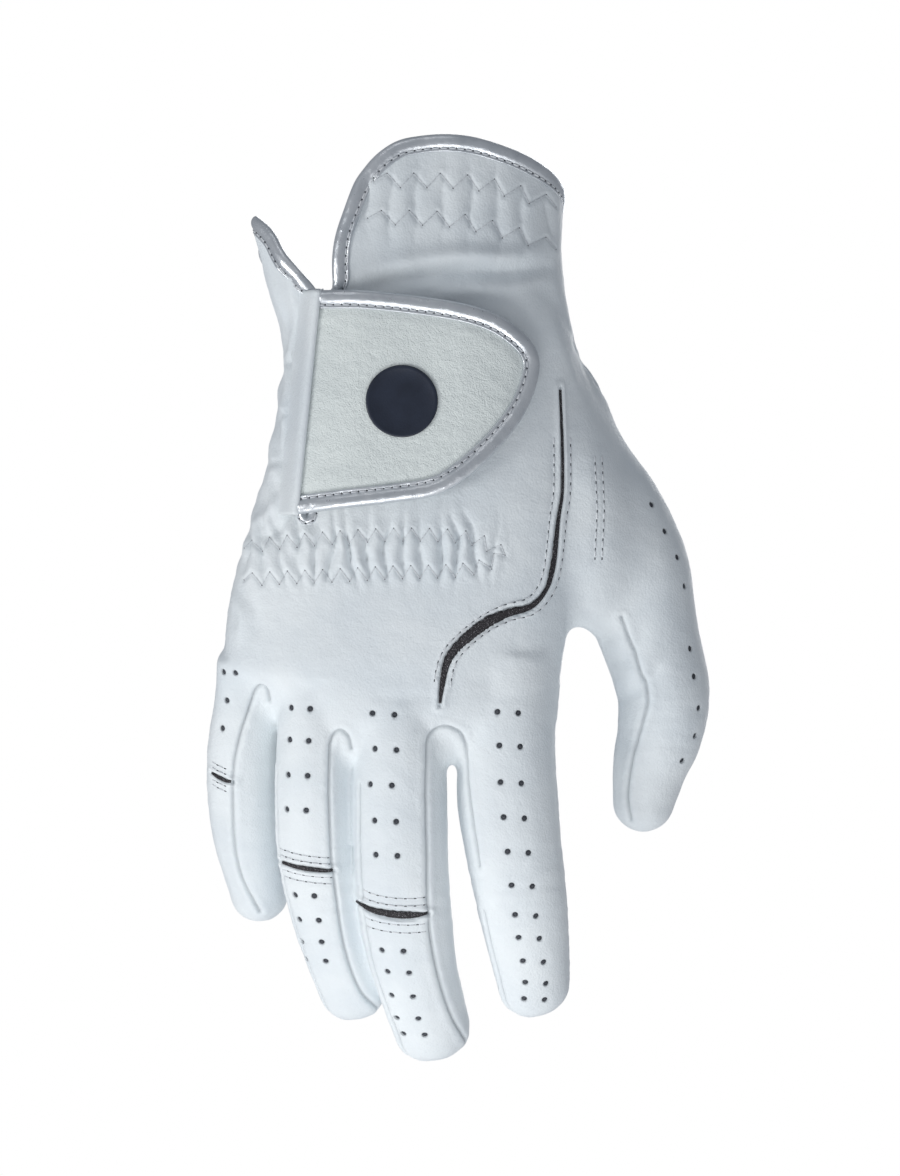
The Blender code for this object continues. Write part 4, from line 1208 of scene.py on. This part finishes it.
zigzag_thread = Batch()
zigzag_hole_shade = Batch()
for row in ZIGZAGS:
    corners = zigzag(*row)
    for spot, up in zip(*outside.drape(corners)):
        # dark capsule at each corner: painted shade for the needle hole
        zigzag_hole_shade.put(*capsule(spot - up * 0.25, spot + up * 0.08, 0.22))
    for a, b in zip(corners, corners[1:]):
        ends = np.linspace(a, b, 4)
        for c, d in zip(ends, ends[1:]):
            inset = 0.08 * (d - c)
            points, ups = outside.drape([c + inset, (c + d) / 2, d - inset])
            if len(points) == 3:
                zigzag_thread.put(*capsule(points[0] + ups[0] * 0.04, points[2] + ups[2] * 0.04, 0.12))
zigzag_thread.build("zigzag", THREAD)
zigzag_hole_shade.build("zigzag_needle_holes", HOLE_SHADE)


# Silver binding of cuff and slit

def slit_x(z):
    share = (SLIT_TOP[1] - z) / (SLIT_TOP[1] - SLIT_BOTTOM[1])
    return SLIT_TOP[0] + (SLIT_BOTTOM[0] - SLIT_TOP[0]) * share


SECTION_OVER = [(-1.0, 0.02), (-0.97, 0.34), (-0.88, 0.44), (-0.78, 0.20), (-0.70, 0.20),
                (-0.60, 0.62), (-0.44, 0.98), (-0.22, 1.08), (-0.03, 0.95)]
STITCH_SHARE = 0.74              # where on the band's width its stitches lie
BAND_PITCH = 2.1


def binding_section(width, thick, proud):
    """Section of a folded band over a leather edge at (0, 0): out of the edge, up from the leather."""
    over = [(share * width, height * proud) for share, height in SECTION_OVER]
    under = [(0.55, 0.55 * proud), (0.95, -0.2 * thick), (0.9, -0.9 * thick), (0.5, -thick - 0.3 * proud),
             (-0.05 * width, -thick - 0.5 * proud), (-0.5 * width, -thick - 0.5 * proud),
             (-0.95 * width, -thick - 0.4 * proud), (-width, -thick - 0.05)]
    return np.array(over + under)


def sew_band(name, line, ups, zone):
    """Stitches on a band, with painted shade for the needle holes between them."""
    stitches, needle_hole_shade = Batch(), Batch()
    sew(stitches, line, ups, BAND_PITCH, 1.35, 0.21, 0.12)
    sew(needle_hole_shade, line, ups, BAND_PITCH, 0.45, 0.24, 0.02, 1.5)
    stitches.build(f"{name}_stitches", THREAD, zone)
    needle_hole_shade.build(f"{name}_needle_holes", HOLE_SHADE, zone)


def rim_path():
    depths = np.linspace(SLIT_TOP[1] - 3.0, SLIT_BOTTOM[1] + 3.0, 40)
    rows = [(z, back_angle(slit_x(z) + SLIT_HALF, z)) for z in depths[::-1]]
    round_cuff = np.linspace(CUFF[0][0], CUFF[-1][0], 420)
    rows += [(float(np.interp(a, CUFF_ROWS[:, 0], CUFF_ROWS[:, 1])), a) for a in round_cuff]
    rows += [(z, back_angle(slit_x(z) - SLIT_HALF, z)) for z in depths]
    foot = SLIT_BOTTOM[1]
    for turn in np.linspace(0, 180, 9)[1:-1]:
        step = SLIT_HALF * math.cos(math.radians(turn))
        level = foot + 1.5 - SLIT_HALF * math.sin(math.radians(turn))
        rows.append((level, back_angle(slit_x(foot) - step, foot)))
    points = np.vstack([hand_points(z, a) for z, a in rows])
    points = even(np.vstack([points, points[:1]]), 0.8)[:-1]
    return blur(points, 4, closed=True)


rim, rim_up = outside.snap(rim_path())
rim = blur(rim, 4, closed=True)
rim_up = normalise(blur(rim_up, 8, closed=True))
rim_out = normalise(np.cross(rim_up, tangents_of(rim, closed=True)))
rim_up = normalise(np.cross(tangents_of(rim, closed=True), rim_out))
CUFF_BAND = 3.5
SLIT_BAND = 1.9
SLIT_LOWER = 0.5                 # share of its height that the band loses in the slit
cuff_section = binding_section(CUFF_BAND, LEATHER, 0.8)
in_slit = smoothstep(-22.0, -27.0, rim[:, 2]) * (rim[:, 1] < 0)
widths = 1 + (SLIT_BAND / CUFF_BAND - 1) * in_slit
heights = 1 - SLIT_LOWER * in_slit
band_points, band_faces = sweep(rim, rim_up, rim_out, cuff_section, True, widths, heights)
wobble = noise_at(band_points, (1.6, 1.6, 1.6), 8)
band_points = band_points + 0.08 * wobble[:, None] * np.repeat(rim_up, len(cuff_section), axis=0)
cuff_band = make_object("binding_cuff", band_points, band_faces, SILVER)
turn_outward(cuff_band)
cuff_band.modifiers.new("smooth", "SUBSURF").render_levels = 1
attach(cuff_band, "hand")
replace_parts(cuff_band, "cuff_binding")
row = rim - rim_out * (CUFF_BAND * STITCH_SHARE * widths)[:, None] + rim_up * (0.16 * heights)[:, None]
sew_band("binding", np.vstack([row, row[:1]]), np.vstack([rim_up, rim_up[:1]]), "hand")


# Closure tab

def tab_y(x):
    beyond = np.maximum(0, np.maximum(TAB_FLAT[0] - x, x - TAB_FLAT[1]))
    return TAB_Y + TAB_FALL[0] * beyond + TAB_FALL[1] * beyond**2


def tab_points(xz, lower=0.0):
    xz = np.asarray(xz)
    return np.stack([xz[:, 0], tab_y(xz[:, 0]) + lower, xz[:, 1]], axis=1)


def tab_ups(points):
    slope = (tab_y(points[:, 0] + 0.5) - tab_y(points[:, 0] - 0.5))
    return normalise(np.stack([slope, -np.ones(len(points)), np.zeros(len(points))], axis=1))


tab_edge = even(through(TAB), 0.7, dims=2)
tab_edge_points = tab_points(tab_edge)
tab_up = tab_ups(tab_edge_points)
tab_out = normalise(np.cross(tab_up, tangents_of(tab_edge_points)))

hinge = even([TAB[-1], TAB[0]], 0.7, dims=2)
outline = np.vstack([tab_edge, hinge[1:-1]])
outline = np.array(TAB_CENTRE) + (outline - np.array(TAB_CENTRE)) * 0.985
RINGS = 44
face_rows = [np.array(TAB_CENTRE) + (outline - np.array(TAB_CENTRE)) * share
             for share in np.linspace(0.02, 1.0, RINGS)]
flat = np.vstack(face_rows)
face_points = tab_points(flat)
edge_distance = measure(face_points, tab_edge_points)[0]
puffed = 0.35 * smoothstep(TAB_BAND - 0.4, TAB_BAND + 2.2, edge_distance)
creases = noise_at(face_points, (9.0, 9.0, 5.0), 11) * 0.16
creases += noise_at(face_points, (2.4, 2.4, 1.6), 12) * 0.07
face_points[:, 1] += -puffed - creases * smoothstep(TAB_BAND, TAB_BAND + 2.0, edge_distance) + 0.35
count = len(outline)
top_count = len(face_points)
lining = tab_points(flat, TAB_THICK)
faces = grid_faces(RINGS, count)
faces += [tuple(i + top_count for i in f[::-1]) for f in faces]
faces += [tuple(range(count))[::-1], tuple(range(top_count, top_count + count))]
edge_top = (RINGS - 1) * count
edge_low = edge_top + top_count
faces += [(edge_top + k, edge_top + (k + 1) % count, edge_low + (k + 1) % count, edge_low + k)
          for k in range(count)]
tab_face = make_object("tab_face", np.vstack([face_points, lining]), faces, TAB_MAT)
turn_outward(tab_face)
add_painted_shade(tab_face, np.zeros(len(tab_face.data.vertices)))
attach(tab_face, "tab")
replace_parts(tab_face, "tab_leather")

BAND_LAP = 0.9                   # how far the leather's edge lies inside the band's outer edge
tab_section = binding_section(TAB_BAND - BAND_LAP, TAB_THICK, 0.95)
band_points, band_faces = sweep(tab_edge_points - tab_out * BAND_LAP, tab_up, tab_out, tab_section, False)
wobble = noise_at(band_points, (1.8, 1.8, 1.8), 9)
band_points = band_points + 0.09 * wobble[:, None] * np.repeat(tab_up, len(tab_section), axis=0)
tab_band = make_object("tab_edge_band", band_points, band_faces, SILVER)
turn_outward(tab_band)
tab_band.modifiers.new("smooth", "SUBSURF").render_levels = 1
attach(tab_band, "tab")
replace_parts(tab_band, "tab_binding")
row = tab_edge_points - tab_out * (BAND_LAP + (TAB_BAND - BAND_LAP) * STITCH_SHARE) + tab_up * 0.19
sew_band("tab", row, tab_up, "tab")

# Leather strip that carries the tab, from the glove beside the slit up to the tab's sewn edge
strip_edge = even([TAB[0], TAB[-1]], 0.8, dims=2)
strip_section = through(HINGE_STRIP, 4)
strip_rows = []
for across, rise, height in strip_section:
    xz = strip_edge + np.array([across, 0.0])
    foot = outside.drape(xz)[0]
    top = tab_points(xz, -height)
    foot[:, 1] -= height
    foot[:, 1] += 0.3 * noise_at(foot, (3.0, 9.0, 7.0), 16)
    top[:, 1] += 0.3 * noise_at(foot, (3.0, 9.0, 7.0), 16) * smoothstep(0.0, -1.5, across)
    strip_rows.append(foot + (top - foot) * rise)
faces = grid_faces(len(strip_rows), len(strip_edge), rings=False)
strip = make_object("tab_hinge", np.vstack(strip_rows), faces, LEATHER_MAT)
turn_outward(strip)
solid = strip.modifiers.new("thickness", "SOLIDIFY")
solid.thickness = LEATHER * MM
solid.offset = 0.0
add_painted_shade(strip, np.zeros(len(strip.data.vertices)))
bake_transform(strip)

# Plain round badge with a raised rim
BADGE_SIDES = 96
turn = np.linspace(0, 2 * math.pi, BADGE_SIDES, endpoint=False)
profile = [(0.02, 0.42), (0.5, 0.46), (0.86, 0.42), (0.90, 0.62), (0.96, 0.66), (1.0, 0.5), (1.0, -0.3),
           (0.02, -0.3)]
rings = []
for share, height in profile:
    x = BADGE[0] + BADGE[2] * share * np.cos(turn)
    z = BADGE[1] + BADGE[2] * share * np.sin(turn)
    rings.append(tab_points(np.stack([x, z], axis=1), -height - 0.05))
faces = grid_faces(len(profile), BADGE_SIDES) + end_faces(len(profile), BADGE_SIDES)
badge = make_object("badge", np.vstack(rings), faces, NAVY)
turn_outward(badge)
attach(badge, "tab")
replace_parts(badge, "emblem")


# Fastener and elastic, seen when the tab is open and through the cuff

def pad(name, grid, thickness, material, body, node):
    """A thick patch through a grid of points, rows by columns."""
    rows, columns = grid.shape[:2]
    obj = make_object(name, grid.reshape(-1, 3), grid_faces(rows, columns, rings=False), material)
    turn_outward(obj)
    solid = obj.modifiers.new("thickness", "SOLIDIFY")
    solid.thickness = thickness * MM
    solid.offset = 0.0
    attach(obj, body)
    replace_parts(obj, node)


def pile(name, grid, ups, body, height):
    """Short hooks or loops standing on a patch."""
    batch = Batch()
    for p, u in zip(grid, ups):
        lean = np.array([random.uniform(-0.5, 0.5), 0.0, random.uniform(-0.5, 0.5)])
        batch.put(*capsule(p, p + (u + 0.5 * lean) * height, 0.13, 5))
    for obj in batch.build(name, FASTENER, body):
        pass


PATCH_GRID = (36, 26, 3)
patch_x, patch_z = np.meshgrid(np.linspace(*PATCH_X, PATCH_GRID[1]), np.linspace(*PATCH_Z, PATCH_GRID[0]))
flat = np.stack([patch_x.ravel(), patch_z.ravel()], axis=1)
loop_base, loop_up = outside.drape(flat)
loop_up = normalise(loop_up + np.array([0.0, -0.5, 0.0]))
loop_grid = (loop_base + loop_up * 0.45).reshape(PATCH_GRID)
pad("loop_pad", loop_grid, 0.7, FASTENER, "hand", "loop_patch")
pile("loop_pile", loop_base + loop_up * 0.75, loop_up, "hand", 0.35)
hook_base = tab_points(flat, TAB_THICK + 0.4)
pad("hook_pad", hook_base.reshape(PATCH_GRID), 0.6, FASTENER, "tab", "hook_patch")
hook_up = np.tile([0.0, 1.0, 0.0], (len(flat), 1))
pile("hook_pile", hook_base + 0.25 * hook_up, hook_up, "tab", 0.3)


def elastic(name, node, angles, top, bottom, body):
    """A woven band inside the back of the glove, with ribs across it."""
    columns, rows = 160, 24
    a, z = np.meshgrid(np.linspace(*angles, columns), np.linspace(top, bottom, rows))
    grid = hand_points(z.ravel(), a.ravel(), -(LEATHER + 1.3))
    grid[:, 1] += 0.12 * np.cos(math.pi * np.tile(np.arange(columns), rows) / 2)
    pad(name, grid.reshape(rows, columns, 3), 0.7, ELASTIC, body, node)


cuff_low, cuff_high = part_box("cuff_elastic")
back_low, back_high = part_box("back_elastic")
elastic("elastic_cuff", "cuff_elastic", (-8.0, 60.0), cuff_high.z / MM, cuff_low.z / MM, "hand")
elastic("elastic_back", "back_elastic", (-70.0, 28.0), back_high.z / MM, back_low.z / MM, "hand")


# Stage, light and camera

def add_light(name, place, target, size, power, colour):
    light = bpy.data.lights.new(name, "AREA")
    light.shape = "DISK"
    light.size = size
    light.energy = power
    light.color = colour
    obj = bpy.data.objects.new(name, light)
    obj.location = place
    obj.rotation_mode = "QUATERNION"
    obj.rotation_quaternion = (Vector(target) - Vector(place)).to_track_quat("-Z", "Y")
    bpy.context.scene.collection.objects.link(obj)


FLOOR_RADIUS = 1.0
FLOOR_Z = -0.90
floor_turn = np.linspace(0, 2 * math.pi, 96, endpoint=False)
floor_mesh = bpy.data.meshes.new("floor")
floor_edge = [(FLOOR_RADIUS * math.cos(a), FLOOR_RADIUS * math.sin(a), FLOOR_Z) for a in floor_turn]
floor_mesh.from_pydata(floor_edge, [], [tuple(range(len(floor_edge)))])
floor_material, floor_tree, floor_shader = new_material("pale_floor", (0.93, 0.93, 0.94), 0.9)
floor_nodes = Nodes(floor_tree)
floor_stops = [(0.3, (0.92, 0.92, 0.93)), (0.7, (0.95, 0.95, 0.95))]
floor_tone = floor_nodes.ramp(floor_nodes.noise(400.0, 2.0), floor_stops)
floor_nodes.link(floor_tone, floor_shader.inputs["Base Color"])
floor_shader.inputs["Emission Color"].default_value = (1.0, 1.0, 1.0, 1.0)
floor_shader.inputs["Emission Strength"].default_value = 0.30
floor_mesh.materials.append(floor_material)
floor = bpy.data.objects.new("floor", floor_mesh)
bpy.context.scene.collection.objects.link(floor)


def make_world():
    """White behind the glove; the light it gives is brighter from the lower left."""
    world = bpy.data.worlds.new("studio")
    bpy.context.scene.world = world
    world.use_nodes = True
    tree = world.node_tree
    background = tree.nodes["Background"]
    coordinates = tree.nodes.new("ShaderNodeTexCoord")
    slope = tree.nodes.new("ShaderNodeVectorMath")
    slope.operation = "DOT_PRODUCT"
    slope.inputs[1].default_value = (-0.35, -0.20, -0.28)
    tree.links.new(coordinates.outputs["Generated"], slope.inputs[0])
    fade = tree.nodes.new("ShaderNodeMapRange")
    fade.inputs["From Min"].default_value = -0.45
    fade.inputs["From Max"].default_value = 0.45
    tree.links.new(slope.outputs["Value"], fade.inputs["Value"])
    ramp = tree.nodes.new("ShaderNodeValToRGB")
    ramp.color_ramp.elements[0].color = (0.265, 0.28, 0.305, 1.0)
    ramp.color_ramp.elements[1].color = (0.385, 0.40, 0.43, 1.0)
    tree.links.new(fade.outputs["Result"], ramp.inputs["Fac"])
    rays = tree.nodes.new("ShaderNodeLightPath")
    mix = tree.nodes.new("ShaderNodeMix")
    mix.data_type = "RGBA"
    mix.inputs[7].default_value = (1.0, 1.0, 1.0, 1.0)
    tree.links.new(rays.outputs["Is Camera Ray"], mix.inputs["Factor"])
    tree.links.new(ramp.outputs["Color"], mix.inputs[6])
    tree.links.new(mix.outputs[2], background.inputs["Color"])


make_world()
add_light("key", (-1.0, -0.62, -0.35), (0.0, 0.0, -0.12), 0.4, 4.4, (1.0, 0.995, 0.98))
add_light("low", (-0.04, -0.26, -0.40), (0.0, 0.0, -0.17), 0.24, 0.44, (1.0, 1.0, 1.0))
add_light("top", (-0.20, -0.50, 0.60), (0.0, 0.0, 0.0), 0.25, 0.25, (1.0, 1.0, 1.0))
add_light("behind", (0.4, 1.3, 0.2), (0.0, 0.0, -0.1), 0.9, 6.0, (1.0, 1.0, 1.0))

camera_data = bpy.data.cameras.new("camera")
CAMERA_DISTANCE = 3.0
FRAME_HEIGHT = 0.294
camera_data.sensor_width = 36.0
camera_data.lens = camera_data.sensor_width * CAMERA_DISTANCE / FRAME_HEIGHT
camera = bpy.data.objects.new("camera", camera_data)
camera.location = (0.005, -CAMERA_DISTANCE - 0.010, -0.0995)
camera.rotation_euler = (math.radians(90), 0.0, 0.0)
bpy.context.scene.collection.objects.link(camera)
bpy.context.scene.camera = camera
bpy.context.scene.view_settings.view_transform = "Standard"
